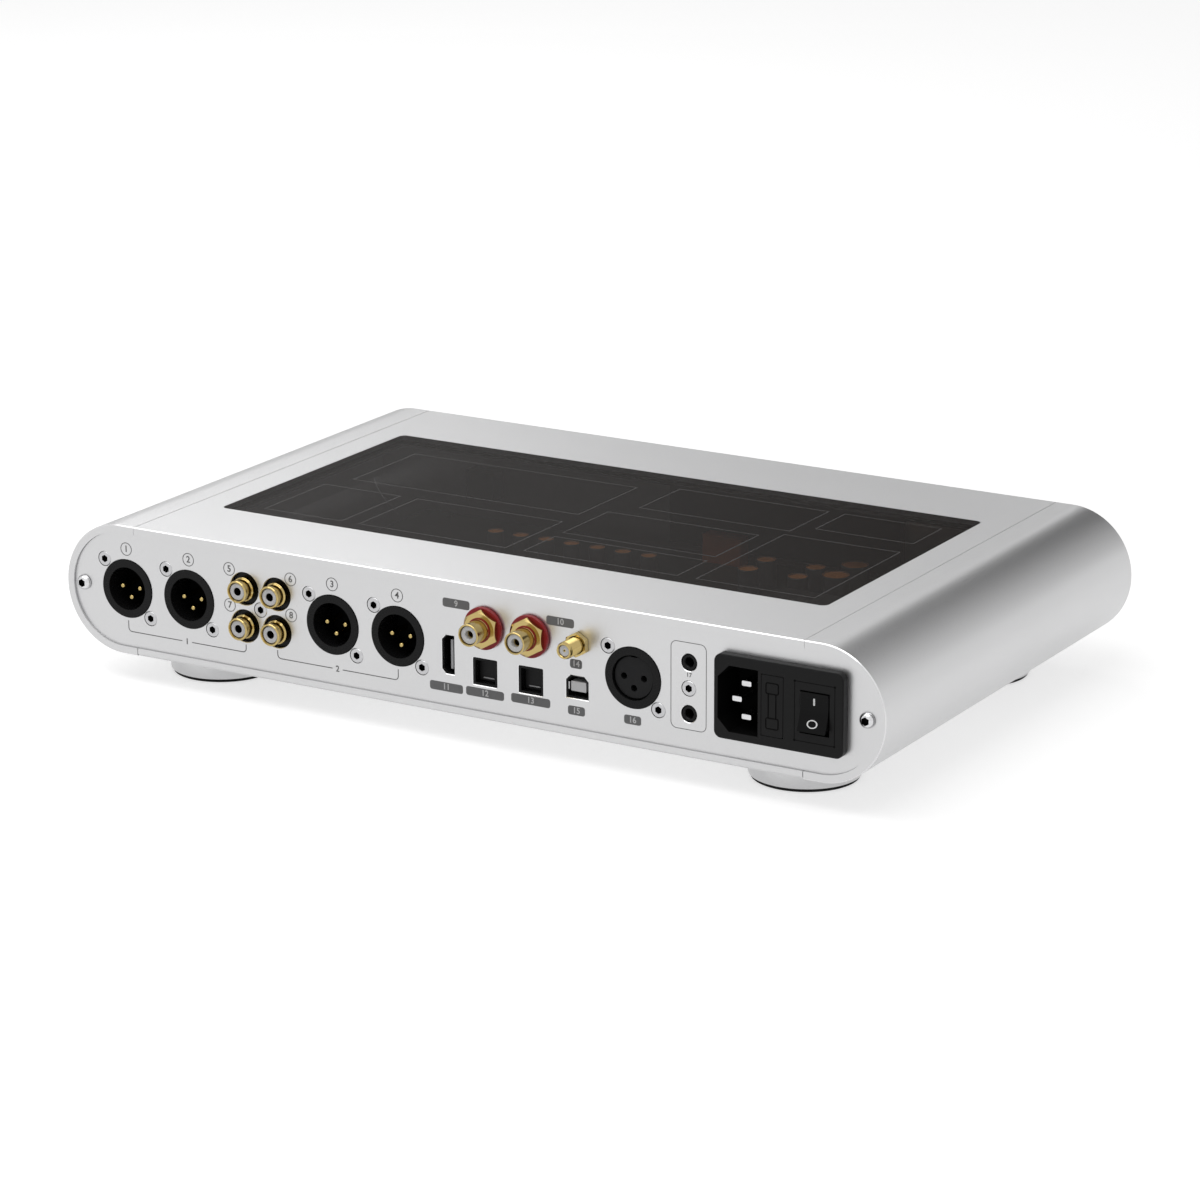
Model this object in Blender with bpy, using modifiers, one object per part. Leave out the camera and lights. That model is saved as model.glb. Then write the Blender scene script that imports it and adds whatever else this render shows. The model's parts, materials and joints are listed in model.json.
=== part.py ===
"""Desktop digital-to-analogue converter with a round-ended aluminium shell.

Metres, +Z up. The unit stands on z = 0, its front faces -Y and its sockets face +Y.
Rear pieces are drawn as seen from behind: u to the right, v up from the middle of the
body's height, w out of the rear panel's face. Front pieces are drawn the same way from the front.
"""
import math

import bmesh
import bpy

# Shell
BODY_WIDTH = 0.372
BODY_DEPTH = 0.219
BODY_HEIGHT = 0.0539
WALL = 0.0032
CHEEK_WIDTH = 0.034
SEAM_X = BODY_WIDTH / 2 - CHEEK_WIDTH
SEAM_GAP = 0.0004
EDGE_CHAMFER = 0.0009
LEDGE_REACH = 0.009
LEDGE_THICKNESS = 0.0025
CHANNEL_HEIGHT = 0.009
CHANNEL_LENGTH = 0.0095
CHEEK_STEPS = 24
CORNER_STEPS = 4

# Clearances: between pieces that seat on each other, and round pieces that pass through holes
SEAT = 0.0002
CLEAR = 0.00025
RUNNING = 0.0002
OVERLAP = 0.0006
BARREL_RIM = 0.0005

# Facets round pins, holes and bars, and small turned pieces
PIN_STEPS = 8
HOLE_STEPS = 12
ROUND_STEPS = 16

# Window in the top plate
WINDOW_SIDE = 0.0134
WINDOW_END = 0.0422
WINDOW_WIDTH = 2 * (SEAM_X - WINDOW_SIDE)
WINDOW_DEPTH = BODY_DEPTH - 2 * WINDOW_END
WINDOW_CORNER = 0.0025
GLASS_THICKNESS = 0.002
GLASS_LEDGE = 0.004
GLASS_CHAMFER = 0.0003

# Feet
FOOT_DIAMETER = 0.0436
FOOT_HEIGHT = 0.0101
FOOT_CHAMFER = 0.0006
FOOT_SCREW = 0.0042
FOOT_COUNTERBORE = 0.010
FOOT_COUNTERBORE_DEPTH = 0.005
FOOT_SIDE = 0.0516
FOOT_END = 0.0352
FOOT_X = BODY_WIDTH / 2 - FOOT_SIDE
FOOT_Y = BODY_DEPTH / 2 - FOOT_END
PAD_DIAMETER = 0.0416
PAD_THICKNESS = 0.001
FOOT_STEPS = 28

# Rear and front panels
PANEL_THICKNESS = 0.003
PANEL_RECESS = 0.001
PANEL_SCREW_END = 0.008
PANEL_SCREW_U = BODY_WIDTH / 2 - PANEL_SCREW_END
PANEL_SCREW_V = 0.0002
SCREW_SHANK = 0.0026
SCREW_LENGTH = 0.009
SCREW_HEAD = 0.0063
SCREW_HEAD_HEIGHT = 0.0024
SCREW_HEX = 0.0026
SCREW_HEX_DEPTH = 0.0013

# Balanced sockets; all sockets keep their share of the body's width
XLR_OUT_PAIRS = (-0.3801 * BODY_WIDTH, -0.11304 * BODY_WIDTH)
XLR_OUT_PITCH = 0.08172 * BODY_WIDTH
XLR_IN_U = 0.21183 * BODY_WIDTH
XLR_V = 0.0005
XLR_RING = 0.024
XLR_PROUD = 0.0004
XLR_FLANGE_WIDTH = 0.026
XLR_FLANGE_HEIGHT = 0.028
XLR_FLANGE_CORNER = 0.004
XLR_DEPTH = 0.018
XLR_CAVITY = 0.0178
XLR_CAVITY_DEPTH = 0.0145
XLR_KEY_WIDTH = 0.0028
XLR_KEY_HEIGHT = 0.0011
XLR_CONTACT_OFFSET = 0.00433
XLR_PIN = 0.0024
XLR_PIN_LENGTH = 0.0105
XLR_CARRIER = 0.002
XLR_HOLE = 0.0027
XLR_HOLE_DEPTH = 0.009
XLR_INSERT_RECESS = 0.0007
XLR_STEPS = 24

# Four-way phono block
RCA_U = -0.24597 * BODY_WIDTH
RCA_V = 0.0012
RCA_PITCH = 0.0154
RCA_HOLE = 0.0134
RCA_BOSS_RECESS = 0.0022
RCA_BLOCK = 0.0292
RCA_BLOCK_DEPTH = 0.014
RCA_BARREL = 0.0082
RCA_BASE = 0.0094
RCA_BASE_HEIGHT = 0.003
RCA_REACH = 0.0055
RCA_BORE = 0.0034
RCA_BORE_DEPTH = 0.006
RCA_STEPS = 16

# Coaxial jacks
COAX_U = (0.03495 * BODY_WIDTH, 0.09059 * BODY_WIDTH)
COAX_V = 0.0101
COAX_BARREL = 0.0089
COAX_REACH = 0.012
COAX_TAIL = 0.008
COAX_FLANGE = 0.0128
COAX_FLANGE_HEIGHT = 0.002
COAX_BORE = 0.0034
COAX_BORE_DEPTH = 0.008
COAX_WASHER = 0.017
COAX_WASHER_HEIGHT = 0.0016
COAX_WASHER_STEPS = 24
COAX_NUT_FLATS = 0.0137
COAX_NUT_HEIGHT = 0.002
COAX_STEPS = 16

# Aerial socket
AERIAL_U = 0.14758 * BODY_WIDTH
AERIAL_V = 0.0102
AERIAL_BARREL = 0.0068
AERIAL_REACH = 0.011
AERIAL_TAIL = 0.007
AERIAL_FLANGE = 0.0104
AERIAL_FLANGE_HEIGHT = 0.0018
AERIAL_BORE = 0.0046
AERIAL_BORE_DEPTH = 0.0006
AERIAL_NUT_FLATS = 0.0086
AERIAL_NUT_HEIGHT = 0.0022

# Upright digital link socket
LINK_U = -0.01022 * BODY_WIDTH
LINK_V = -0.0034
LINK_WIDTH = 0.0056
LINK_HEIGHT = 0.0156
LINK_CUT_U = 0.0018
LINK_CUT_V = 0.0021
LINK_SHELL = 0.0009
LINK_DEPTH = 0.011
LINK_CAVITY_DEPTH = 0.0095
LINK_TONGUE_U = 0.001
LINK_TONGUE_WIDTH = 0.0011
LINK_TONGUE_HEIGHT = 0.0118
LINK_TONGUE_LENGTH = 0.0112

# Optical sockets and their shutters
OPTICAL_U = (0.03468 * BODY_WIDTH, 0.09005 * BODY_WIDTH)
OPTICAL_V = -0.00805
OPTICAL_OPENING = 0.0109
OPTICAL_MOUTH = 0.009
OPTICAL_NOSE_RECESS = 0.0004
OPTICAL_BODY_WIDTH = 0.013
OPTICAL_BODY_HEIGHT = 0.0114
OPTICAL_BODY_DEPTH = 0.014
OPTICAL_CAVITY_DEPTH = 0.0118
SHUTTER_THICKNESS = 0.001
SHUTTER_RECESS = 0.0033
SHUTTER_AXLE = 0.0011
SHUTTER_AXLE_DROP = 0.00075
SHUTTER_AXLE_BITE = 0.0004

# Square data socket
USB_U = 0.1457 * BODY_WIDTH
USB_V = -0.00735
USB_WIDTH = 0.0099
USB_HEIGHT = 0.0091
USB_CUT = 0.002
USB_SHELL = 0.0009
USB_DEPTH = 0.0145
USB_CAVITY_DEPTH = 0.0125
USB_TONGUE_WIDTH = 0.0066
USB_TONGUE_HEIGHT = 0.0036
USB_TONGUE_LENGTH = 0.0145

# Trigger jacks
TRIGGER_U = 0.27661 * BODY_WIDTH
TRIGGER_V = (0.0103, -0.0099)
TRIGGER_HOLE = 0.0068
TRIGGER_NOSE_RECESS = 0.0003
TRIGGER_BORE = 0.0036
TRIGGER_BORE_DEPTH = 0.012
TRIGGER_BODY_WIDTH = 0.010
TRIGGER_BODY_HEIGHT = 0.0074
TRIGGER_BODY_DEPTH = 0.012
TRIGGER_STEPS = 16

# Mains inlet module; places inside it are measured from the middle of its flange
INLET_U = 0.3836 * BODY_WIDTH
INLET_V = 0.0008
FLANGE_WIDTH = 0.0541
FLANGE_HEIGHT = 0.0329
FLANGE_CORNER = 0.003
FLANGE_PROUD = 0.004
FLANGE_CHAMFER = 0.0006
INLET_BODY_WIDTH = FLANGE_WIDTH - 0.0023
INLET_BODY_HEIGHT = 0.0274
INLET_BODY_SHIFT = -0.0004
INLET_BODY_DEPTH = 0.018
WELL_U = 0.01025 - FLANGE_WIDTH / 2
WELL_V = -0.0004
WELL_WIDTH = 0.017
WELL_HEIGHT = 0.0258
WELL_CUT = 0.0048
WELL_DEPTH = 0.017
BLADE_WIDTH = 0.004
BLADE_HEIGHT = 0.002
BLADE_LENGTH = 0.0125
BLADE_PITCH = 0.014
BLADE_OFFSET = 0.002
DRAWER_U = WELL_U + 0.0145
DRAWER_V = -0.0004
DRAWER_WIDTH = 0.009
DRAWER_HEIGHT = 0.0236
DRAWER_LENGTH = 0.0185
DRAWER_WALL = 0.0015
FUSE_DIAMETER = 0.005
FUSE_LENGTH = 0.020
ROCKER_U = FLANGE_WIDTH / 2 - 0.01165
ROCKER_V = -0.00035
ROCKER_WIDTH = 0.0119
ROCKER_HEIGHT = 0.015
ROCKER_PIVOT_W = 0.002
ROCKER_END_HEIGHT = 0.004
ROCKER_MIDDLE_HEIGHT = 0.0027
ROCKER_SKIRT = 0.005
ROCKER_KEEL = 0.006
ROCKER_TILT = math.radians(10)
ROCKER_AXLE = 0.0024
ROCKER_AXLE_BITE = 0.0008
ROCKER_WELL_DEPTH = 0.013

# Front: display and knob
LENS_X = -0.08065 * BODY_WIDTH
LENS_WIDTH = 0.110
LENS_HEIGHT = 0.026
LENS_CORNER = 0.002
LENS_THICKNESS = 0.0016
LENS_LEDGE = 0.002
MODULE_THICKNESS = 0.004
KNOB_SIDE = 0.068
KNOB_X = BODY_WIDTH / 2 - KNOB_SIDE
KNOB_DIAMETER = 0.034
KNOB_LENGTH = 0.011
KNOB_GAP = 0.001
KNOB_CHAMFER = 0.0008
KNOB_BORE_DEPTH = 0.0085
KNOB_STEPS = 36
SHAFT_DIAMETER = 0.006
SHAFT_TAIL = 0.0082
ENCODER_WIDTH = 0.014
ENCODER_HEIGHT = 0.013
ENCODER_DEPTH = 0.009
BUSHING_DIAMETER = 0.0078
BUSHING_RECESS = 0.0003
PLUNGER_THICKNESS = 0.0011
PUSH_TRAVEL = 0.0008

# Inside
STANDOFF_DIAMETER = 0.006
STANDOFF_INSET = 0.0085
BOARD_SIDE = 0.007
BOARD_WIDTH = 2 * (SEAM_X - BOARD_SIDE)
BOARD_FRONT = 0.0135 - BODY_DEPTH / 2
BOARD_REAR = BODY_DEPTH / 2 - 0.005
BOARD_THICKNESS = 0.0016
BOARD_GAP = 0.0006
STANDOFF_X = BOARD_WIDTH / 2 - 0.015
STANDOFF_Y = (BOARD_FRONT + STANDOFF_INSET, (BOARD_FRONT + BOARD_REAR) / 2, BOARD_REAR - STANDOFF_INSET)
CAP_ROW_X = 0.004
CAP_ROW_Y = -0.047
CAP_ROW_PITCH = 0.0125
CAP_ROW_COUNT = 7
CAP_SMALL = 0.007
CAP_MEDIUM = 0.0085
CAP_LARGE = 0.0115
CAP_SMALL_HEIGHT = 0.0115
CAP_LARGE_HEIGHT = 0.0125
CAP_PAIRS_X = (-0.041, -0.064)
CAP_PAIR_Y = -0.0585
CAP_PAIR_PITCH = 0.0155
CAP_LARGE_X = -0.078
CAP_LARGE_Y = -0.066
CAP_LARGE_PITCH = 0.017
FILM_CAP_X = -0.0095
FILM_CAP_Y = BOARD_FRONT + 0.008
FILM_CAP_SIZE = (0.0185, 0.0075, 0.012)
SUPPLY_X = 0.037 - BOARD_WIDTH / 2
SUPPLY_Y = 0.034
SUPPLY_SIZE = (0.056, 0.080, 0.021)
SUPPLY_CHAMFER = 0.001

# Levels that follow from the sizes above
BODY_BOTTOM = PAD_THICKNESS + SEAT + FOOT_HEIGHT + SEAT
MID_HEIGHT = BODY_BOTTOM + BODY_HEIGHT / 2
PANEL_Y = BODY_DEPTH / 2 - PANEL_RECESS
PANEL_BACK = -PANEL_THICKNESS - SEAT
FLOOR_TOP = BODY_BOTTOM + WALL
# The board lies just under the lowest socket, the phono block
BOARD_TOP = MID_HEIGHT + RCA_V - RCA_BLOCK / 2 - BOARD_GAP
BOARD_BOTTOM = BOARD_TOP - BOARD_THICKNESS
STANDOFF_HEIGHT = BOARD_BOTTOM - SEAT - FLOOR_TOP
# The origin lies midway between the knob's face and the tips of the coaxial jacks
CENTRE_SHIFT = (KNOB_GAP + KNOB_LENGTH - COAX_REACH) / 2

QUARTER = math.pi / 2
SHARP_ANGLE = math.radians(35)
FLAT_ANGLE = math.radians(0.1)
MILLIMETRES = 1000.0
TINY = 1e-6


# Scene, materials and placing

def clear_scene():
    for old in list(bpy.data.objects):
        bpy.data.objects.remove(old, do_unlink=True)


def new_collection(name):
    collection = bpy.data.collections.new(name)
    bpy.context.scene.collection.children.link(collection)
    return collection


def new_material(name, colour, roughness, metallic=0.0):
    material = bpy.data.materials.new(name)
    material.use_nodes = True
    shader = material.node_tree.nodes["Principled BSDF"]
    shader.inputs["Base Color"].default_value = (*colour, 1.0)
    shader.inputs["Roughness"].default_value = roughness
    shader.inputs["Metallic"].default_value = metallic
    return material


def new_frame(name, location, rotation=(0.0, 0.0, 0.0), parent=None):
    frame = bpy.data.objects.new(name, None)
    frame.location = location
    frame.rotation_euler = rotation
    frame.parent = parent
    PARTS.objects.link(frame)
    return frame


def place(piece, finish, parent, location=(0.0, 0.0, 0.0), rotation=(0.0, 0.0, 0.0)):
    """Give a finished piece its material and its place in a frame."""
    piece.parent = parent
    piece.location = location
    piece.rotation_euler = rotation
    piece.data.materials.clear()
    piece.data.materials.append(FINISHES[finish])
    return piece


def copy_of(piece, name):
    """Another piece of the same shape, sharing its mesh."""
    twin = bpy.data.objects.new(name, piece.data)
    PARTS.objects.link(twin)
    return twin


# Outlines: lists of (x, y) points, anticlockwise

def arc(centre, radius, start, end, steps):
    turns = [start + (end - start) * i / steps for i in range(steps + 1)]
    return [(centre[0] + radius * math.cos(t), centre[1] + radius * math.sin(t)) for t in turns]


def circle(diameter, steps, centre=(0.0, 0.0)):
    return arc(centre, diameter / 2, 0.0, 2 * math.pi, steps)[:-1]


def hexagon(flats):
    return circle(flats / math.cos(math.pi / 6), 6)


def rectangle(width, height, centre=(0.0, 0.0)):
    x, y = centre
    w, h = width / 2, height / 2
    return [(x - w, y - h), (x + w, y - h), (x + w, y + h), (x - w, y + h)]


def rounded(width, height, radius, centre=(0.0, 0.0), steps=CORNER_STEPS):
    points = []
    for turn, (side_x, side_y) in enumerate(((1, 1), (-1, 1), (-1, -1), (1, -1))):
        x = centre[0] + side_x * (width / 2 - radius)
        y = centre[1] + side_y * (height / 2 - radius)
        points += arc((x, y), radius, turn * QUARTER, (turn + 1) * QUARTER, steps)
    return points


def cut_corners(width, height, cut_x, cut_y, corners, centre=(0.0, 0.0)):
    """Rectangle with the corners named by their (side_x, side_y) signs cut off."""
    points = []
    for side_x, side_y in ((-1, -1), (1, -1), (1, 1), (-1, 1)):
        x = centre[0] + side_x * width / 2
        y = centre[1] + side_y * height / 2
        if (side_x, side_y) not in corners:
            points.append((x, y))
            continue
        along = (x - side_x * cut_x, y)
        up = (x, y - side_y * cut_y)
        points += [up, along] if side_x * side_y > 0 else [along, up]
    return points


def keyed_circle(diameter, key_width, key_height, steps):
    """Round outline with a square keyway at the top."""
    half = math.asin(key_width / diameter)
    points = arc((0.0, 0.0), diameter / 2, QUARTER + half, QUARTER + 2 * math.pi - half, steps)
    top = diameter / 2 + key_height
    return points + [(key_width / 2, top), (-key_width / 2, top)]


def shifted(outline, centre):
    return [(x + centre[0], y + centre[1]) for x, y in outline]


# Solids

def without_repeats(outline):
    last = outline[-1]
    kept = []
    for point in outline:
        if math.dist(point, last) > TINY:
            kept.append(point)
        last = point
    return kept


def extruded(name, outlines, low, high):
    """Flat outline with any holes in it, drawn out along local Z from low to high.

    The outline is filled in millimetres, where the fill's own tolerance is fine enough.
    """
    curve = bpy.data.curves.new(name, "CURVE")
    curve.dimensions = "2D"
    curve.fill_mode = "BOTH"
    curve.extrude = (high - low) / 2 * MILLIMETRES
    for outline in outlines:
        points = without_repeats(outline)
        spline = curve.splines.new("POLY")
        spline.points.add(len(points) - 1)
        for point, (x, y) in zip(spline.points, points):
            point.co = (x * MILLIMETRES, y * MILLIMETRES, 0.0, 1.0)
        spline.use_cyclic_u = True
    drawing = bpy.data.objects.new(name, curve)
    bpy.context.scene.collection.objects.link(drawing)
    graph = bpy.context.evaluated_depsgraph_get()
    mesh = bpy.data.meshes.new_from_object(drawing.evaluated_get(graph))
    bpy.data.objects.remove(drawing)
    bpy.data.curves.remove(curve)
    form = bmesh.new()
    form.from_mesh(mesh)
    bmesh.ops.remove_doubles(form, verts=form.verts, dist=TINY * MILLIMETRES)
    bmesh.ops.scale(form, verts=form.verts, vec=[1 / MILLIMETRES] * 3)
    bmesh.ops.translate(form, verts=form.verts, vec=(0.0, 0.0, (low + high) / 2))
    bmesh.ops.recalc_face_normals(form, faces=form.faces)
    form.to_mesh(mesh)
    form.free()
    mesh.name = name
    piece = bpy.data.objects.new(name, mesh)
    PARTS.objects.link(piece)
    return piece


def turned(name, profile, steps):
    """Profile of (radius, height) points, from the top down its outer side, swept round local Z."""
    count = len(profile)
    edges = [(i, i + 1) for i in range(count - 1)]
    if profile[0][0] > 0:
        edges.append((count - 1, 0))
    mesh = bpy.data.meshes.new(name)
    mesh.from_pydata([(radius, 0.0, height) for radius, height in profile], edges, [])
    piece = bpy.data.objects.new(name, mesh)
    PARTS.objects.link(piece)
    screw = piece.modifiers.new("turn", "SCREW")
    screw.axis = "Z"
    screw.steps = steps
    screw.render_steps = steps
    screw.use_merge_vertices = True
    screw.merge_threshold = TINY
    return settle(piece)


def settle(piece):
    """Apply a piece's modifiers, so that copies can share the finished mesh."""
    bpy.context.view_layer.update()
    graph = bpy.context.evaluated_depsgraph_get()
    mesh = bpy.data.meshes.new_from_object(piece.evaluated_get(graph))
    piece.modifiers.clear()
    piece.data = mesh
    for tool in list(piece.children):
        bpy.data.objects.remove(tool)
    mesh.shade_smooth()
    mesh.set_sharp_from_angle(angle=SHARP_ANGLE)
    return piece


def use_tool(piece, tool, operation):
    """Boolean a tool solid, drawn in the piece's own coordinates, into the piece."""
    step = piece.modifiers.new(tool.name, "BOOLEAN")
    step.operation = operation
    step.solver = "EXACT"
    step.object = tool
    PARTS.objects.unlink(tool)
    CUTTERS.objects.link(tool)
    tool.parent = piece
    tool.hide_render = True
    tool.display_type = "WIRE"
    return piece


def cut(piece, tool):
    return use_tool(piece, tool, "DIFFERENCE")


def join(piece, tool):
    return use_tool(piece, tool, "UNION")


def move_mesh(piece, offset):
    """Shift a shape inside its own coordinates."""
    for vertex in piece.data.vertices:
        vertex.co.x += offset[0]
        vertex.co.y += offset[1]
        vertex.co.z += offset[2]
    return piece


def chamfer(piece, width, chosen):
    """Chamfer the edges whose two ends both satisfy the test."""
    form = bmesh.new()
    form.from_mesh(piece.data)
    edges = [edge for edge in form.edges if all(chosen(*vertex.co) for vertex in edge.verts)]
    bmesh.ops.bevel(form, geom=edges, offset=width, segments=1, affect="EDGES", profile=0.5)
    bmesh.ops.recalc_face_normals(form, faces=form.faces)
    form.to_mesh(piece.data)
    form.free()
    return piece


def merge_flat_faces(piece):
    """Turn the filled ends of an extrusion into single flat faces."""
    form = bmesh.new()
    form.from_mesh(piece.data)
    bmesh.ops.dissolve_limit(form, angle_limit=FLAT_ANGLE, verts=form.verts, edges=form.edges)
    form.to_mesh(piece.data)
    form.free()
    return piece


def near(value, target):
    return abs(value - target) < TINY


def cross_bar(name, diameter, length, centre=(0.0, 0.0, 0.0)):
    """Round bar lying along local X."""
    bar = extruded(name, [circle(diameter, HOLE_STEPS)], -length / 2, length / 2)
    for vertex in bar.data.vertices:
        x, y, z = vertex.co
        vertex.co = (z + centre[0], y + centre[1], -x + centre[2])
    return bar


# Shell pieces

def build_cheek(name, side):
    radius = BODY_HEIGHT / 2
    middle = BODY_WIDTH / 2 - radius
    edge = SEAM_X + SEAM_GAP / 2
    outline = [(edge, -radius)]
    outline += arc((middle, 0.0), radius, -QUARTER, QUARTER, CHEEK_STEPS)
    outline += [(edge, radius), (edge, radius - WALL)]
    outline += arc((middle, 0.0), radius - WALL, QUARTER, -QUARTER, CHEEK_STEPS)
    outline.append((edge, WALL - radius))
    mirrored = [(side * x, y) for x, y in outline]
    cheek = extruded(name, [mirrored], -BODY_DEPTH / 2, BODY_DEPTH / 2)
    merge_flat_faces(cheek)

    def outside(x, y):
        return near(math.hypot(max(abs(x) - middle, 0.0), y), radius)

    chamfer(cheek, EDGE_CHAMFER, lambda x, y, z: outside(x, y) and near(z, BODY_DEPTH / 2))
    chamfer(cheek, EDGE_CHAMFER, lambda x, y, z: outside(x, y) and near(z, -BODY_DEPTH / 2))

    # Ledges that carry the top and bottom plates, and the channel that takes the panel screws
    inside = BODY_DEPTH / 2 - PANEL_RECESS - PANEL_THICKNESS - SEAT
    seat = radius - WALL - SEAT
    corner = edge + SEAT
    ledge = [
        (edge - LEDGE_REACH, seat - LEDGE_THICKNESS),
        (middle, seat - LEDGE_THICKNESS),
        (middle, radius - WALL / 2),
        (corner, radius - WALL / 2),
        (corner, seat),
        (edge - LEDGE_REACH, seat),
    ]
    channel_end = middle + radius - WALL / 2
    channel_width = channel_end - PANEL_SCREW_U + CHANNEL_LENGTH / 2
    channel_centre = (side * (channel_end - channel_width / 2), PANEL_SCREW_V)
    outlines = [
        [(side * x, y) for x, y in ledge],
        [(side * x, -y) for x, y in ledge],
        rectangle(channel_width, CHANNEL_HEIGHT, channel_centre),
        circle(SCREW_SHANK + 2 * CLEAR, HOLE_STEPS, (side * PANEL_SCREW_U, PANEL_SCREW_V)),
    ]
    join(cheek, extruded(name + "_ledges", outlines, -inside, inside))
    return place(cheek, "aluminium", SECTION)


def chamfer_ends(plate, level):
    """Carry the cheeks' rim chamfer on along a plate's front and rear edges."""
    for end in (-BODY_DEPTH / 2, BODY_DEPTH / 2):
        chamfer(plate, EDGE_CHAMFER, lambda x, y, z: near(z, level) and near(y, end))


def build_top_plate():
    radius = BODY_HEIGHT / 2
    width = 2 * SEAM_X - SEAM_GAP
    opening = rounded(WINDOW_WIDTH - 2 * GLASS_LEDGE, WINDOW_DEPTH - 2 * GLASS_LEDGE, WINDOW_CORNER)
    plate = extruded("top_plate", [rectangle(width, BODY_DEPTH), opening], radius - WALL, radius)
    chamfer_ends(plate, radius)
    pocket = rounded(WINDOW_WIDTH + 2 * SEAT, WINDOW_DEPTH + 2 * SEAT, WINDOW_CORNER + SEAT)
    floor = radius - GLASS_THICKNESS - SEAT
    cut(plate, extruded("glass_pocket", [pocket], floor, radius + OVERLAP))
    return place(plate, "aluminium", BODY)


def build_window_glass():
    top = BODY_HEIGHT / 2
    outline = rounded(WINDOW_WIDTH, WINDOW_DEPTH, WINDOW_CORNER)
    glass = extruded("window_glass", [outline], top - GLASS_THICKNESS, top)
    merge_flat_faces(glass)
    chamfer(glass, GLASS_CHAMFER, lambda x, y, z: near(z, top))
    return place(glass, "smoked_glass", BODY)


def build_bottom_plate():
    radius = BODY_HEIGHT / 2
    width = 2 * SEAM_X - SEAM_GAP
    holes = [circle(FOOT_SCREW, HOLE_STEPS, (x, y)) for x in (-FOOT_X, FOOT_X) for y in (-FOOT_Y, FOOT_Y)]
    plate = extruded("bottom_plate", [rectangle(width, BODY_DEPTH), *holes], -radius, WALL - radius)
    chamfer_ends(plate, -radius)
    posts = [
        circle(STANDOFF_DIAMETER, PIN_STEPS, (x, y))
        for x in (-STANDOFF_X, 0.0, STANDOFF_X)
        for y in STANDOFF_Y
    ]
    foot = WALL / 2 - radius
    join(plate, extruded("standoffs", posts, foot, WALL - radius + STANDOFF_HEIGHT))
    return place(plate, "aluminium", BODY)


def panel_outline():
    inset = 2 * (WALL + CLEAR)
    height = BODY_HEIGHT - inset
    return rounded(BODY_WIDTH - inset, height, height / 2, steps=CHEEK_STEPS // 2)


def build_feet():
    radius = FOOT_DIAMETER / 2
    bore = FOOT_SCREW / 2
    counterbore = FOOT_COUNTERBORE / 2
    profile = [
        (bore, FOOT_HEIGHT),
        (radius, FOOT_HEIGHT),
        (radius, FOOT_CHAMFER),
        (radius - FOOT_CHAMFER, 0.0),
        (counterbore, 0.0),
        (counterbore, FOOT_COUNTERBORE_DEPTH),
        (bore, FOOT_COUNTERBORE_DEPTH),
    ]
    foot = turned("foot_front_left", profile, FOOT_STEPS)
    disc = circle(PAD_DIAMETER, FOOT_STEPS)
    pad = extruded("foot_pad_front_left", [disc], 0.0, PAD_THICKNESS)
    corners = {
        "front_left": (-FOOT_X, -FOOT_Y),
        "front_right": (FOOT_X, -FOOT_Y),
        "rear_left": (-FOOT_X, FOOT_Y),
        "rear_right": (FOOT_X, FOOT_Y),
    }
    for corner, (x, y) in corners.items():
        first = corner == "front_left"
        one_foot = foot if first else copy_of(foot, "foot_" + corner)
        one_pad = pad if first else copy_of(pad, "foot_pad_" + corner)
        place(one_foot, "aluminium", GROUND, (x, y, PAD_THICKNESS + SEAT))
        place(one_pad, "rubber", GROUND, (x, y, 0.0))


# Rear panel and sockets

def usb_outline():
    corners = ((1, 1), (-1, 1))
    return cut_corners(USB_WIDTH, USB_HEIGHT, USB_CUT, USB_CUT, corners)


def link_outline():
    corners = ((-1, 1), (-1, -1))
    return cut_corners(LINK_WIDTH, LINK_HEIGHT, LINK_CUT_U, LINK_CUT_V, corners)


def xlr_out_places():
    return [(u + side * XLR_OUT_PITCH / 2, XLR_V) for u in XLR_OUT_PAIRS for side in (-1, 1)]


def rca_places():
    half = RCA_PITCH / 2
    return [(RCA_U + u * half, RCA_V + v * half) for v in (1, -1) for u in (-1, 1)]


def build_rear_panel():
    holes = [
        circle(XLR_RING + 2 * CLEAR, XLR_STEPS, centre)
        for centre in [*xlr_out_places(), (XLR_IN_U, XLR_V)]
    ]
    holes += [circle(RCA_HOLE, RCA_STEPS, centre) for centre in rca_places()]
    holes += [circle(COAX_BARREL + 2 * CLEAR, COAX_STEPS, (u, COAX_V)) for u in COAX_U]
    holes.append(circle(AERIAL_BARREL + 2 * CLEAR, COAX_STEPS, (AERIAL_U, AERIAL_V)))
    holes.append(shifted(link_outline(), (LINK_U, LINK_V)))
    holes += [rectangle(OPTICAL_OPENING, OPTICAL_OPENING, (u, OPTICAL_V)) for u in OPTICAL_U]
    holes.append(shifted(usb_outline(), (USB_U, USB_V)))
    holes += [circle(TRIGGER_HOLE, TRIGGER_STEPS, (TRIGGER_U, v)) for v in TRIGGER_V]
    inlet_centre = (INLET_U + INLET_BODY_SHIFT, INLET_V)
    inlet_width = INLET_BODY_WIDTH + 2 * CLEAR
    inlet_height = INLET_BODY_HEIGHT + 2 * CLEAR
    holes.append(rectangle(inlet_width, inlet_height, inlet_centre))
    screw_hole = SCREW_SHANK + 2 * CLEAR
    holes += [circle(screw_hole, HOLE_STEPS, (side * PANEL_SCREW_U, PANEL_SCREW_V)) for side in (-1, 1)]
    panel = extruded("rear_panel", [panel_outline(), *holes], -PANEL_THICKNESS, 0.0)
    return place(panel, "aluminium", REAR)


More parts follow.
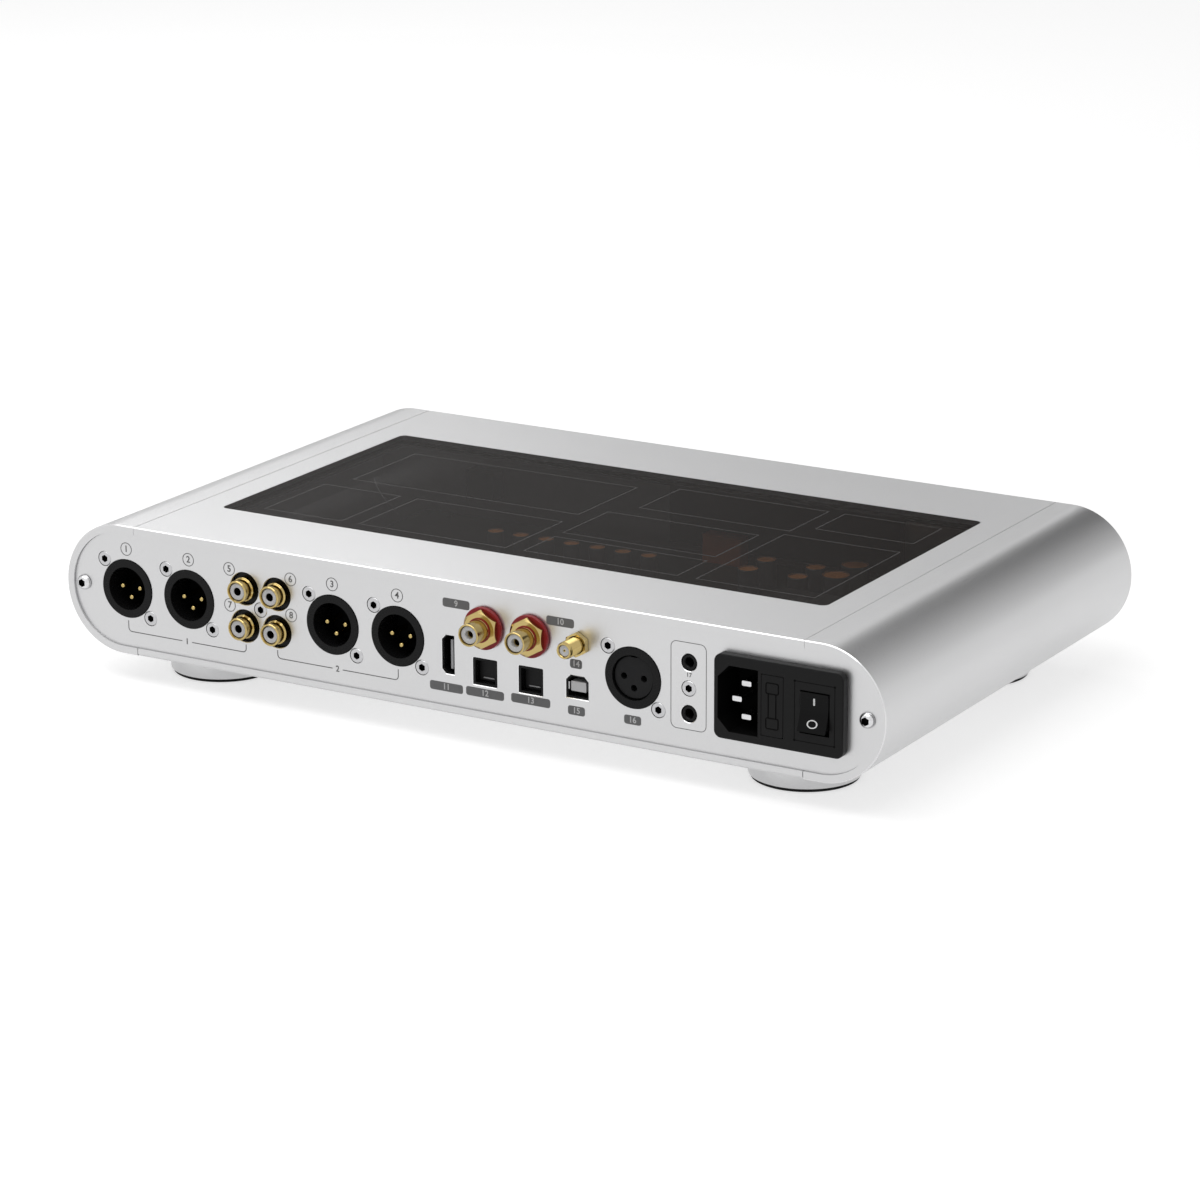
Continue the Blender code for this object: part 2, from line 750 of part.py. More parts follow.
def build_panel_screws():
    head = SCREW_HEAD / 2
    rise = SEAT + SCREW_HEAD_HEIGHT
    dome = [
        (head * math.sin(t), SEAT + SCREW_HEAD_HEIGHT * math.cos(t))
        for t in (QUARTER * i / 4 for i in range(1, 5))
    ]
    profile = [(0.0, rise), *dome, (SCREW_SHANK / 2, SEAT), (SCREW_SHANK / 2, -SCREW_LENGTH)]
    screw = turned("panel_screw_left", [*profile, (0.0, -SCREW_LENGTH)], ROUND_STEPS)
    socket = [hexagon(SCREW_HEX)]
    cut(screw, extruded("screw_socket", socket, rise - SCREW_HEX_DEPTH, rise + OVERLAP))
    settle(screw)
    place(screw, "steel", REAR, (-PANEL_SCREW_U, PANEL_SCREW_V, 0.0))
    twin = copy_of(screw, "panel_screw_right")
    place(twin, "steel", REAR, (PANEL_SCREW_U, PANEL_SCREW_V, 0.0))


def xlr_shell(name):
    """Round collar through the panel on a square body behind it, with a keyed round cavity."""
    flange = rounded(XLR_FLANGE_WIDTH, XLR_FLANGE_HEIGHT, XLR_FLANGE_CORNER)
    shell = extruded(name, [flange], PANEL_BACK - XLR_DEPTH, PANEL_BACK)
    collar = extruded(name + "_collar", [circle(XLR_RING, XLR_STEPS)], PANEL_BACK - OVERLAP, XLR_PROUD)
    join(shell, collar)
    cavity = keyed_circle(XLR_CAVITY, XLR_KEY_WIDTH, XLR_KEY_HEIGHT, XLR_STEPS)
    cut(shell, extruded(name + "_cavity", [cavity], -XLR_CAVITY_DEPTH, XLR_PROUD + OVERLAP))
    return settle(shell)


def xlr_contact_places():
    return [(-XLR_CONTACT_OFFSET, 0.0), (XLR_CONTACT_OFFSET, 0.0), (0.0, -XLR_CONTACT_OFFSET)]


def xlr_contacts(name):
    """Carrier disc on the floor of the cavity, with three round-nosed contacts."""
    floor = SEAT - XLR_CAVITY_DEPTH
    disc = circle(XLR_CAVITY - 2 * CLEAR, XLR_STEPS)
    carrier = extruded(name, [disc], floor, floor + XLR_CARRIER)
    radius = XLR_PIN / 2
    base = floor + XLR_CARRIER / 2
    tip = floor + XLR_CARRIER + XLR_PIN_LENGTH
    profile = [(0.0, tip), (radius / 2, tip), (radius, tip - radius), (radius, base), (0.0, base)]
    for index, (u, v) in enumerate(xlr_contact_places()):
        join(carrier, move_mesh(turned(f"{name}_pin_{index}", profile, PIN_STEPS), (u, v, 0.0)))
    return settle(carrier)


def xlr_insert(name):
    """Solid insert with three contact holes and a notch over the keyway."""
    floor = SEAT - XLR_CAVITY_DEPTH
    face = -XLR_INSERT_RECESS
    body = circle(XLR_CAVITY - 2 * CLEAR, XLR_STEPS)
    holes = [circle(XLR_HOLE, HOLE_STEPS, centre) for centre in xlr_contact_places()]
    insert = extruded(name, [body], floor, face)
    cut(insert, extruded(name + "_holes", holes, face - XLR_HOLE_DEPTH, face + OVERLAP))
    notch_top = (0.0, XLR_CAVITY / 2)
    notch = [rectangle(XLR_KEY_WIDTH, 2 * XLR_KEY_HEIGHT, notch_top)]
    cut(insert, extruded(name + "_notch", notch, face - XLR_HOLE_DEPTH, face + OVERLAP))
    return settle(insert)


def build_xlr_sockets():
    shell = xlr_shell("xlr_in_shell")
    place(shell, "black_plastic", REAR, (XLR_IN_U, XLR_V, 0.0))
    place(xlr_insert("xlr_in_insert"), "dark_plastic", REAR, (XLR_IN_U, XLR_V, 0.0))
    contacts = xlr_contacts("xlr_out_contacts_1")
    for number, (u, v) in enumerate(xlr_out_places(), 1):
        place(copy_of(shell, f"xlr_out_shell_{number}"), "black_plastic", REAR, (u, v, 0.0))
        piece = contacts if number == 1 else copy_of(contacts, f"xlr_out_contacts_{number}")
        place(piece, "gilt", REAR, (u, v, 0.0))


def build_rca_block():
    """Block behind the panel with a boss in each of the four round holes, and four gilt jacks."""
    back = PANEL_BACK - RCA_BLOCK_DEPTH
    block = extruded("rca_block", [rectangle(RCA_BLOCK, RCA_BLOCK)], back, PANEL_BACK)
    centres = [(u - RCA_U, v - RCA_V) for u, v in rca_places()]
    bosses = [circle(RCA_HOLE - 2 * CLEAR, RCA_STEPS, centre) for centre in centres]
    join(block, extruded("rca_bosses", bosses, PANEL_BACK - OVERLAP, -RCA_BOSS_RECESS))
    place(block, "black_plastic", REAR, (RCA_U, RCA_V, 0.0))

    base = SEAT - RCA_BOSS_RECESS
    shoulder = base + RCA_BASE_HEIGHT
    floor = RCA_REACH - RCA_BORE_DEPTH
    profile = [
        (RCA_BORE / 2, RCA_REACH),
        (RCA_BARREL / 2 - BARREL_RIM, RCA_REACH),
        (RCA_BARREL / 2, RCA_REACH - BARREL_RIM),
        (RCA_BARREL / 2, shoulder),
        (RCA_BASE / 2, shoulder),
        (RCA_BASE / 2, base),
        (0.0, base),
    ]
    jack = turned_with_floor("rca_jack_1", profile, floor, RCA_STEPS)
    for number, (u, v) in enumerate(rca_places(), 1):
        piece = jack if number == 1 else copy_of(jack, f"rca_jack_{number}")
        place(piece, "gilt", REAR, (u, v, 0.0))


def turned_with_floor(name, profile, floor, steps):
    """Turned barrel whose bore ends blind at the height of its floor."""
    return turned(name, [(0.0, floor), (profile[0][0], floor), *profile], steps)


def build_coax_jacks():
    """Each jack comes through from inside and is held by a nut over an insulating washer."""
    radius = COAX_BARREL / 2
    flange_low = PANEL_BACK - COAX_FLANGE_HEIGHT
    profile = [
        (COAX_BORE / 2, COAX_REACH),
        (radius - BARREL_RIM, COAX_REACH),
        (radius, COAX_REACH - BARREL_RIM),
        (radius, PANEL_BACK),
        (COAX_FLANGE / 2, PANEL_BACK),
        (COAX_FLANGE / 2, flange_low),
        (radius, flange_low),
        (radius, flange_low - COAX_TAIL),
        (0.0, flange_low - COAX_TAIL),
    ]
    jack = turned_with_floor("coax_jack_1", profile, COAX_REACH - COAX_BORE_DEPTH, COAX_STEPS)
    bore = circle(COAX_BARREL + 2 * CLEAR, COAX_STEPS)
    washer_top = SEAT + COAX_WASHER_HEIGHT
    nut_low = washer_top + SEAT
    washer = extruded("coax_washer_1", [circle(COAX_WASHER, COAX_WASHER_STEPS), bore], SEAT, washer_top)
    nut = extruded("coax_nut_1", [hexagon(COAX_NUT_FLATS), bore], nut_low, nut_low + COAX_NUT_HEIGHT)
    for number, u in enumerate(COAX_U, 1):
        first = number == 1
        for piece, name, finish in (
            (jack, "coax_jack", "gilt"),
            (washer, "coax_washer", "red_plastic"),
            (nut, "coax_nut", "gilt"),
        ):
            one = piece if first else copy_of(piece, f"{name}_{number}")
            place(one, finish, REAR, (u, COAX_V, 0.0))


def build_aerial_socket():
    radius = AERIAL_BARREL / 2
    flange_low = PANEL_BACK - AERIAL_FLANGE_HEIGHT
    profile = [
        (AERIAL_BORE / 2, AERIAL_REACH),
        (radius, AERIAL_REACH),
        (radius, PANEL_BACK),
        (AERIAL_FLANGE / 2, PANEL_BACK),
        (AERIAL_FLANGE / 2, flange_low),
        (radius, flange_low),
        (radius, flange_low - AERIAL_TAIL),
        (0.0, flange_low - AERIAL_TAIL),
    ]
    floor = AERIAL_REACH - AERIAL_BORE_DEPTH
    socket = turned_with_floor("aerial_socket", profile, floor, COAX_STEPS)
    place(socket, "gilt", REAR, (AERIAL_U, AERIAL_V, 0.0))
    outlines = [hexagon(AERIAL_NUT_FLATS), circle(AERIAL_BARREL + 2 * CLEAR, COAX_STEPS)]
    nut = extruded("aerial_nut", outlines, SEAT, SEAT + AERIAL_NUT_HEIGHT)
    place(nut, "gilt", REAR, (AERIAL_U, AERIAL_V, 0.0))


def build_shell_socket(name, outline, shell, depth, cavity_depth, tongue, tongue_length, location):
    """Metal shell behind a shaped cut-out, with a contact tongue standing in it."""
    width = max(x for x, y in outline) - min(x for x, y in outline) + 2 * shell
    height = max(y for x, y in outline) - min(y for x, y in outline) + 2 * shell
    socket = extruded(name, [rectangle(width, height)], PANEL_BACK - depth, PANEL_BACK)
    floor = PANEL_BACK - cavity_depth
    cut(socket, extruded(name + "_cavity", [outline], floor, PANEL_BACK + OVERLAP))
    join(socket, extruded(name + "_tongue", [tongue], floor - OVERLAP, floor + tongue_length))
    return place(socket, "steel", REAR, location)


def build_data_sockets():
    link_tongue = rectangle(LINK_TONGUE_WIDTH, LINK_TONGUE_HEIGHT, (LINK_TONGUE_U, 0.0))
    build_shell_socket("link_socket", link_outline(), LINK_SHELL, LINK_DEPTH, LINK_CAVITY_DEPTH,
                       link_tongue, LINK_TONGUE_LENGTH, (LINK_U, LINK_V, 0.0))
    usb_tongue = rectangle(USB_TONGUE_WIDTH, USB_TONGUE_HEIGHT)
    build_shell_socket("usb_socket", usb_outline(), USB_SHELL, USB_DEPTH, USB_CAVITY_DEPTH,
                       usb_tongue, USB_TONGUE_LENGTH, (USB_U, USB_V, 0.0))


def build_optical_sockets():
    """Square sockets whose shutters hang on an axle under the roof of the mouth."""
    nose = OPTICAL_OPENING - 2 * CLEAR
    body = rectangle(OPTICAL_BODY_WIDTH, OPTICAL_BODY_HEIGHT)
    socket = extruded("optical_socket_1", [body], PANEL_BACK - OPTICAL_BODY_DEPTH, PANEL_BACK)
    nose_top = -OPTICAL_NOSE_RECESS
    join(socket, extruded("optical_nose", [rectangle(nose, nose)], PANEL_BACK - OVERLAP, nose_top))
    mouth = rectangle(OPTICAL_MOUTH, OPTICAL_MOUTH)
    cavity_floor = PANEL_BACK - OPTICAL_CAVITY_DEPTH
    cut(socket, extruded("optical_mouth", [mouth], cavity_floor, nose_top + OVERLAP))
    axle_v = OPTICAL_MOUTH / 2 - SHUTTER_AXLE_DROP
    axle_w = -SHUTTER_RECESS - SHUTTER_THICKNESS / 2
    axle_length = OPTICAL_MOUTH + 2 * SHUTTER_AXLE_BITE
    bearing = SHUTTER_AXLE + 2 * RUNNING
    bearing_length = axle_length + 2 * RUNNING
    cut(socket, cross_bar("optical_bearing", bearing, bearing_length, (0.0, axle_v, axle_w)))
    settle(socket)

    # The shutter's own origin is on its axle
    width = OPTICAL_MOUTH - 2 * RUNNING
    drop = axle_v + OPTICAL_MOUTH / 2 - RUNNING
    leaf = rectangle(width, drop, (0.0, -drop / 2))
    shutter = extruded("optical_shutter_1", [leaf], -SHUTTER_THICKNESS / 2, SHUTTER_THICKNESS / 2)
    join(shutter, cross_bar("shutter_axle", SHUTTER_AXLE, axle_length))
    settle(shutter)
    for number, u in enumerate(OPTICAL_U, 1):
        first = number == 1
        one_socket = socket if first else copy_of(socket, f"optical_socket_{number}")
        one_shutter = shutter if first else copy_of(shutter, f"optical_shutter_{number}")
        place(one_socket, "black_plastic", REAR, (u, OPTICAL_V, 0.0))
        place(one_shutter, "dark_plastic", REAR, (u, OPTICAL_V + axle_v, axle_w))


def build_trigger_jacks():
    body = rectangle(TRIGGER_BODY_WIDTH, TRIGGER_BODY_HEIGHT)
    jack = extruded("trigger_jack_1", [body], PANEL_BACK - TRIGGER_BODY_DEPTH, PANEL_BACK)
    nose = circle(TRIGGER_HOLE - 2 * CLEAR, TRIGGER_STEPS)
    nose_top = -TRIGGER_NOSE_RECESS
    join(jack, extruded("trigger_nose", [nose], PANEL_BACK - OVERLAP, nose_top))
    bore = circle(TRIGGER_BORE, TRIGGER_STEPS)
    cut(jack, extruded("trigger_bore", [bore], nose_top - TRIGGER_BORE_DEPTH, nose_top + OVERLAP))
    settle(jack)
    for number, v in enumerate(TRIGGER_V, 1):
        piece = jack if number == 1 else copy_of(jack, f"trigger_jack_{number}")
        place(piece, "black_plastic", REAR, (TRIGGER_U, v, 0.0))


# Mains inlet module

def drawer_slot():
    return (DRAWER_WIDTH + 2 * RUNNING, DRAWER_HEIGHT + 2 * RUNNING)


def build_inlet_housing():
    """Flange and body in one moulding, with the plug well, the drawer's slot and the rocker's well."""
    outline = rounded(FLANGE_WIDTH, FLANGE_HEIGHT, FLANGE_CORNER)
    housing = extruded("inlet_housing", [outline], SEAT, FLANGE_PROUD)
    merge_flat_faces(housing)
    chamfer(housing, FLANGE_CHAMFER, lambda x, y, z: near(z, FLANGE_PROUD))
    body = rectangle(INLET_BODY_WIDTH, INLET_BODY_HEIGHT, (INLET_BODY_SHIFT, 0.0))
    join(housing, extruded("inlet_body", [body], -INLET_BODY_DEPTH, SEAT + OVERLAP))

    top = FLANGE_PROUD + OVERLAP
    well_floor = FLANGE_PROUD - WELL_DEPTH
    well = cut_corners(WELL_WIDTH, WELL_HEIGHT, WELL_CUT, WELL_CUT, ((-1, 1), (-1, -1)), (WELL_U, WELL_V))
    cut(housing, extruded("plug_well", [well], well_floor, top))
    slot = rectangle(*drawer_slot(), (DRAWER_U, DRAWER_V))
    slot_floor = FLANGE_PROUD - DRAWER_LENGTH - RUNNING
    cut(housing, extruded("drawer_slot", [slot], slot_floor, top))
    swing = math.hypot(ROCKER_HEIGHT / 2, ROCKER_END_HEIGHT)
    reach = swing * math.cos(math.atan2(ROCKER_END_HEIGHT, ROCKER_HEIGHT / 2) - ROCKER_TILT)
    opening = rectangle(ROCKER_WIDTH + 2 * RUNNING, 2 * (reach + RUNNING), (ROCKER_U, ROCKER_V))
    cut(housing, extruded("rocker_well", [opening], FLANGE_PROUD - ROCKER_WELL_DEPTH, top))
    bearing_length = ROCKER_WIDTH + 2 * (ROCKER_AXLE_BITE + 2 * RUNNING)
    bearing_centre = (ROCKER_U, ROCKER_V, ROCKER_PIVOT_W)
    cut(housing, cross_bar("rocker_bearing", ROCKER_AXLE + 2 * RUNNING, bearing_length, bearing_centre))

    # Earth blade on the side with the cut corners, the two live blades on the other side
    blades = [
        rectangle(BLADE_WIDTH, BLADE_HEIGHT, (WELL_U - BLADE_OFFSET, WELL_V)),
        rectangle(BLADE_WIDTH, BLADE_HEIGHT, (WELL_U + BLADE_OFFSET, WELL_V + BLADE_PITCH / 2)),
        rectangle(BLADE_WIDTH, BLADE_HEIGHT, (WELL_U + BLADE_OFFSET, WELL_V - BLADE_PITCH / 2)),
    ]
    join(housing, extruded("inlet_blades", blades, well_floor - OVERLAP, well_floor + BLADE_LENGTH))
    return place(housing, "black_plastic", REAR, (INLET_U, INLET_V, 0.0))


def build_fuse_drawer():
    """Drawer that slides straight out, with the fuse lying upright in a trough in its side."""
    face = rectangle(DRAWER_WIDTH, DRAWER_HEIGHT)
    drawer = extruded("fuse_drawer", [face], FLANGE_PROUD - DRAWER_LENGTH, FLANGE_PROUD)
    trough_width = DRAWER_WIDTH - DRAWER_WALL + OVERLAP
    trough_centre = ((DRAWER_WALL + OVERLAP) / 2, 0.0)
    trough = rectangle(trough_width, FUSE_LENGTH + 2 * CLEAR, trough_centre)
    fuse_w = FLANGE_PROUD - DRAWER_LENGTH / 2
    trough_half = FUSE_DIAMETER / 2 + CLEAR
    cut(drawer, extruded("fuse_trough", [trough], fuse_w - trough_half, fuse_w + trough_half))
    centre = (INLET_U + DRAWER_U, INLET_V + DRAWER_V, 0.0)
    place(drawer, "black_plastic", REAR, centre)

    tube = circle(FUSE_DIAMETER, ROUND_STEPS)
    fuse = extruded("fuse", [tube], -FUSE_LENGTH / 2, FUSE_LENGTH / 2)
    fuse_u = centre[0] + DRAWER_WALL - DRAWER_WIDTH / 2 + FUSE_DIAMETER / 2 + CLEAR
    place(fuse, "fuse_glass", REAR, (fuse_u, centre[1], fuse_w), (QUARTER, 0.0, 0.0))


def build_power_rocker():
    """Hollow-faced rocker on a level axle, at rest with its upper end pressed in."""
    half = ROCKER_HEIGHT / 2
    side = [
        (half, ROCKER_END_HEIGHT),
        (0.0, ROCKER_MIDDLE_HEIGHT),
        (-half, ROCKER_END_HEIGHT),
        (ROCKER_SKIRT / 2 - half, -ROCKER_AXLE / 2),
        (-ROCKER_AXLE, -ROCKER_KEEL),
        (ROCKER_AXLE, -ROCKER_KEEL),
        (half - ROCKER_SKIRT / 2, -ROCKER_AXLE / 2),
    ]
    rocker = extruded("power_rocker", [side], -ROCKER_WIDTH / 2, ROCKER_WIDTH / 2)
    for vertex in rocker.data.vertices:
        v, w, u = vertex.co
        vertex.co = (u, v, w)
    length = ROCKER_WIDTH + 2 * ROCKER_AXLE_BITE
    join(rocker, cross_bar("rocker_axle", ROCKER_AXLE, length))
    centre = (INLET_U + ROCKER_U, INLET_V + ROCKER_V, ROCKER_PIVOT_W)
    return place(rocker, "black_plastic", REAR, centre, (-ROCKER_TILT, 0.0, 0.0))


# Front panel, display and knob

def build_front_panel():
    opening = rounded(LENS_WIDTH - 2 * LENS_LEDGE, LENS_HEIGHT - 2 * LENS_LEDGE, LENS_CORNER, (LENS_X, 0.0))
    bushing_hole = circle(BUSHING_DIAMETER + 2 * CLEAR, ROUND_STEPS, (KNOB_X, 0.0))
    panel = extruded("front_panel", [panel_outline(), opening, bushing_hole], -PANEL_THICKNESS, 0.0)
    pocket = rounded(LENS_WIDTH + 2 * SEAT, LENS_HEIGHT + 2 * SEAT, LENS_CORNER, (LENS_X, 0.0))
    cut(panel, extruded("lens_pocket", [pocket], -LENS_THICKNESS - SEAT, OVERLAP))
    place(panel, "aluminium", FRONT)

    lens_outline = rounded(LENS_WIDTH, LENS_HEIGHT, LENS_CORNER)
    lens = extruded("display_lens", [lens_outline], -LENS_THICKNESS, 0.0)
    place(lens, "smoked_glass", FRONT, (LENS_X, 0.0, 0.0))
    screen = rectangle(LENS_WIDTH, LENS_HEIGHT)
    module = extruded("display_module", [screen], PANEL_BACK - MODULE_THICKNESS, PANEL_BACK)
    place(module, "circuit_board", FRONT, (LENS_X, 0.0, 0.0))


def build_knob():
    """Turned knob on the encoder's shaft; shaft and knob push a plunger at the encoder's floor."""
    knob_place = (KNOB_X, 0.0, 0.0)
    radius = KNOB_DIAMETER / 2
    face = KNOB_GAP + KNOB_LENGTH
    bore = SHAFT_DIAMETER / 2 + CLEAR
    profile = [
        (0.0, face),
        (radius - KNOB_CHAMFER, face),
        (radius, face - KNOB_CHAMFER),
        (radius, KNOB_GAP),
        (bore, KNOB_GAP),
        (bore, KNOB_GAP + KNOB_BORE_DEPTH),
        (0.0, KNOB_GAP + KNOB_BORE_DEPTH),
    ]
    place(turned("volume_knob", profile, KNOB_STEPS), "aluminium", FRONT, knob_place)

    shaft_top = KNOB_GAP + KNOB_BORE_DEPTH - SEAT
    shaft = extruded("encoder_shaft", [circle(SHAFT_DIAMETER, ROUND_STEPS)], -SHAFT_TAIL, shaft_top)
    place(shaft, "steel", FRONT, knob_place)

    outline = rectangle(ENCODER_WIDTH, ENCODER_HEIGHT)
    body = extruded("encoder", [outline], PANEL_BACK - ENCODER_DEPTH, PANEL_BACK)
    bushing = circle(BUSHING_DIAMETER, ROUND_STEPS)
    join(body, extruded("encoder_bushing", [bushing], PANEL_BACK - OVERLAP, -BUSHING_RECESS))
    plunger_top = -SHAFT_TAIL - SEAT
    plunger_low = plunger_top - PLUNGER_THICKNESS
    well = circle(SHAFT_DIAMETER + 2 * CLEAR, ROUND_STEPS)
    well_floor = plunger_low - PUSH_TRAVEL - RUNNING
    cut(body, extruded("encoder_well", [well], well_floor, OVERLAP))
    place(body, "black_plastic", FRONT, knob_place)

    disc = circle(SHAFT_DIAMETER, ROUND_STEPS)
    place(extruded("encoder_plunger", [disc], plunger_low, plunger_top), "dark_plastic", FRONT, knob_place)


# Inside

def board_outline():
    depth = BOARD_REAR - BOARD_FRONT
    return rectangle(BOARD_WIDTH, depth, (0.0, (BOARD_REAR + BOARD_FRONT) / 2))


def build_main_board():
    """Circuit board with its capacitors soldered on."""
    board = extruded("main_board", [board_outline()], BOARD_BOTTOM, BOARD_TOP)
    root = BOARD_TOP - BOARD_THICKNESS / 2
    row = [
        circle(CAP_SMALL, HOLE_STEPS, (CAP_ROW_X + i * CAP_ROW_PITCH, CAP_ROW_Y))
        for i in range(CAP_ROW_COUNT)
    ]
    row += [
        circle(CAP_MEDIUM, HOLE_STEPS, (x, CAP_PAIR_Y + side * CAP_PAIR_PITCH / 2))
        for x in CAP_PAIRS_X
        for side in (-1, 1)
    ]
    join(board, extruded("small_capacitors", row, root, BOARD_TOP + CAP_SMALL_HEIGHT))
    pair = [
        circle(CAP_LARGE, ROUND_STEPS, (CAP_LARGE_X, CAP_LARGE_Y + side * CAP_LARGE_PITCH / 2))
        for side in (-1, 1)
    ]
    join(board, extruded("large_capacitors", pair, root, BOARD_TOP + CAP_LARGE_HEIGHT))
    length, width, height = FILM_CAP_SIZE
    film = [rectangle(length, width, (FILM_CAP_X, FILM_CAP_Y))]
    join(board, extruded("film_capacitor", film, root, BOARD_TOP + height))
    return place(board, "circuit_board", GROUND)


def build_supply_module():
    length, depth, height = SUPPLY_SIZE
    base = BOARD_TOP + SEAT
    top = base + height
    case = extruded("supply_module", [rectangle(length, depth)], base, top)
    merge_flat_faces(case)
    chamfer(case, SUPPLY_CHAMFER, lambda x, y, z: near(z, top))
    return place(case, "dark_plastic", GROUND, (SUPPLY_X, SUPPLY_Y, 0.0))


clear_scene()
PARTS = new_collection("desktop_dac")
CUTTERS = new_collection("cutters")
FINISHES = {
    "aluminium": new_material("aluminium", (0.62, 0.62, 0.62), 0.45, 1.0),
    "smoked_glass": new_material("smoked_glass", (0.02, 0.019, 0.018), 0.06),
    "black_plastic": new_material("black_plastic", (0.012, 0.012, 0.012), 0.4),
    "dark_plastic": new_material("dark_plastic", (0.025, 0.025, 0.026), 0.5),
    "gilt": new_material("gilt", (0.78, 0.58, 0.25), 0.22, 1.0),
    "red_plastic": new_material("red_plastic", (0.35, 0.015, 0.02), 0.35),
    "rubber": new_material("rubber", (0.02, 0.02, 0.02), 0.85),
    "steel": new_material("steel", (0.6, 0.6, 0.61), 0.25, 1.0),
    "fuse_glass": new_material("fuse_glass", (0.75, 0.78, 0.76), 0.08),
    "circuit_board": new_material("circuit_board", (0.03, 0.035, 0.03), 0.5),
}

# Frames: the standing place, the middle of the body, and the rear and front panel faces
GROUND = new_frame("ground_frame", (0.0, CENTRE_SHIFT, 0.0))
BODY = new_frame("body_frame", (0.0, 0.0, MID_HEIGHT), parent=GROUND)
SECTION = new_frame("section_frame", (0.0, 0.0, 0.0), (QUARTER, 0.0, 0.0), BODY)
REAR = new_frame("rear_frame", (0.0, PANEL_Y, 0.0), (QUARTER, 0.0, math.pi), BODY)
FRONT = new_frame("front_frame", (0.0, -PANEL_Y, 0.0), (QUARTER, 0.0, 0.0), BODY)

build_cheek("left_cheek", -1)
build_cheek("right_cheek", 1)
build_top_plate()
build_window_glass()
build_bottom_plate()
build_feet()
build_rear_panel()
build_panel_screws()
build_xlr_sockets()
build_rca_block()
build_coax_jacks()
build_aerial_socket()
build_data_sockets()
build_optical_sockets()
build_trigger_jacks()
build_inlet_housing()
build_fuse_drawer()
build_power_rocker()
build_front_panel()
build_knob()
build_main_board()
build_supply_module()
bpy.context.view_layer.update()
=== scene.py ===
"""Dressed model of a desktop converter with a round-ended aluminium shell.

Each piece is modelled in millimetres in the view that shows it best, and then set in
its place in metres. Rear pieces are drawn as seen from behind: u to the right, v up from
the middle of the body, w out of the rear panel's face. Front pieces are drawn from the front.
"""
import json
import math

import bmesh
import bpy
from mathutils import Matrix, Vector

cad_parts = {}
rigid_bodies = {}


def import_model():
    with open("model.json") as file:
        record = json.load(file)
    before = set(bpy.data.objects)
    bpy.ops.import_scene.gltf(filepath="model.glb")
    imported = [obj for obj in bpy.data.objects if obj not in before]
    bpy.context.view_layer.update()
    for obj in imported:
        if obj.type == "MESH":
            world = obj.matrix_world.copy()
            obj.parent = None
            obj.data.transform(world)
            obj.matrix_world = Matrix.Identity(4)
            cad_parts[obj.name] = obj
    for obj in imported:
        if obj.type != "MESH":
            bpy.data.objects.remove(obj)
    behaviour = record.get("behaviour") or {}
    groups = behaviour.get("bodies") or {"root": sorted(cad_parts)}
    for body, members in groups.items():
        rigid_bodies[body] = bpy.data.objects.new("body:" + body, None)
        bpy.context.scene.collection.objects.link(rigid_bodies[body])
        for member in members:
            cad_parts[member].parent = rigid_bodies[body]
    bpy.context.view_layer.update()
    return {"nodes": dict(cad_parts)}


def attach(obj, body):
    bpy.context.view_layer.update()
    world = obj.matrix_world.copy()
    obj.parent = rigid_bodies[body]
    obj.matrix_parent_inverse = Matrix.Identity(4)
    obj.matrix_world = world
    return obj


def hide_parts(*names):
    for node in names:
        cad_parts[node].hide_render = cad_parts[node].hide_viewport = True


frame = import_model()
nodes = frame["nodes"]

# Levels and sizes of the shell in millimetres
MIDDLE = 38.45
ROUND = 26.95
ARC_X = 159.05
SEAM = 152.0
GAP = 0.05
END = 109.5
PANEL = 108.5
PANEL_SIZE = (365.46, 47.46)
WALL = 3.2
PLATE = 3.0
SEAT = 0.2
BEHIND = -PLATE - SEAT
TOP = MIDDLE + ROUND
WINDOW = (277.6, 135.0)
GLASS = 2.0
BOARD_TOP = 24.45
LEDGE_END = 105.3
FLANGE = 4.0
INK = 0.05
LINE = 0.35
CHAMFER = 0.35
LIP = 0.22

# Views that pieces are drawn in
MILLIMETRES = Matrix.Scale(0.001, 4)
STANDING = MILLIMETRES
REAR = MILLIMETRES @ Matrix(((-1, 0, 0, 0), (0, 0, 1, PANEL), (0, 1, 0, MIDDLE), (0, 0, 0, 1)))
FRONT = MILLIMETRES @ Matrix(((1, 0, 0, 0), (0, 0, -1, -PANEL), (0, 1, 0, MIDDLE), (0, 0, 0, 1)))
ENDWAYS = MILLIMETRES @ Matrix(((1, 0, 0, 0), (0, 0, -1, 0), (0, 1, 0, MIDDLE), (0, 0, 0, 1)))
SIDEWAYS = Matrix(((0, 0, 1, 0), (1, 0, 0, 0), (0, 1, 0, 0), (0, 0, 0, 1)))

# Places of the sockets and screws on the rear panel
BALANCED_OUT = [(-156.6, 0.5), (-126.2, 0.5), (-57.25, 0.5), (-26.85, 0.5)]
BALANCED_IN = (78.8, 0.5)
CONTACTS = [(-4.33, 0.0), (4.33, 0.0), (0.0, -4.33)]
PHONO_MIDDLE = (-91.5, 1.2)
PHONO = [(-99.2, 8.9), (-83.8, 8.9), (-99.2, -6.5), (-83.8, -6.5)]
COAX = [(13.0, 10.1), (33.7, 10.1)]
AERIAL = (54.9, 10.2)
LINK = (-3.8, -3.4)
OPTICAL = [(12.9, -8.05), (33.5, -8.05)]
DATA = (54.2, -7.35)
TRIGGER = [(102.9, 10.3), (102.9, -9.9)]
INLET = (142.7, 0.8)
WELL = (125.9, 0.4)
DRAWER = (140.4, 0.4)
ROCKER = (158.1, 0.45)
PANEL_SCREWS = [(-178.0, 0.2), (178.0, 0.2)]
SOCKET_SCREWS = [(-91.5, 1.3), (102.9, 0.15)]
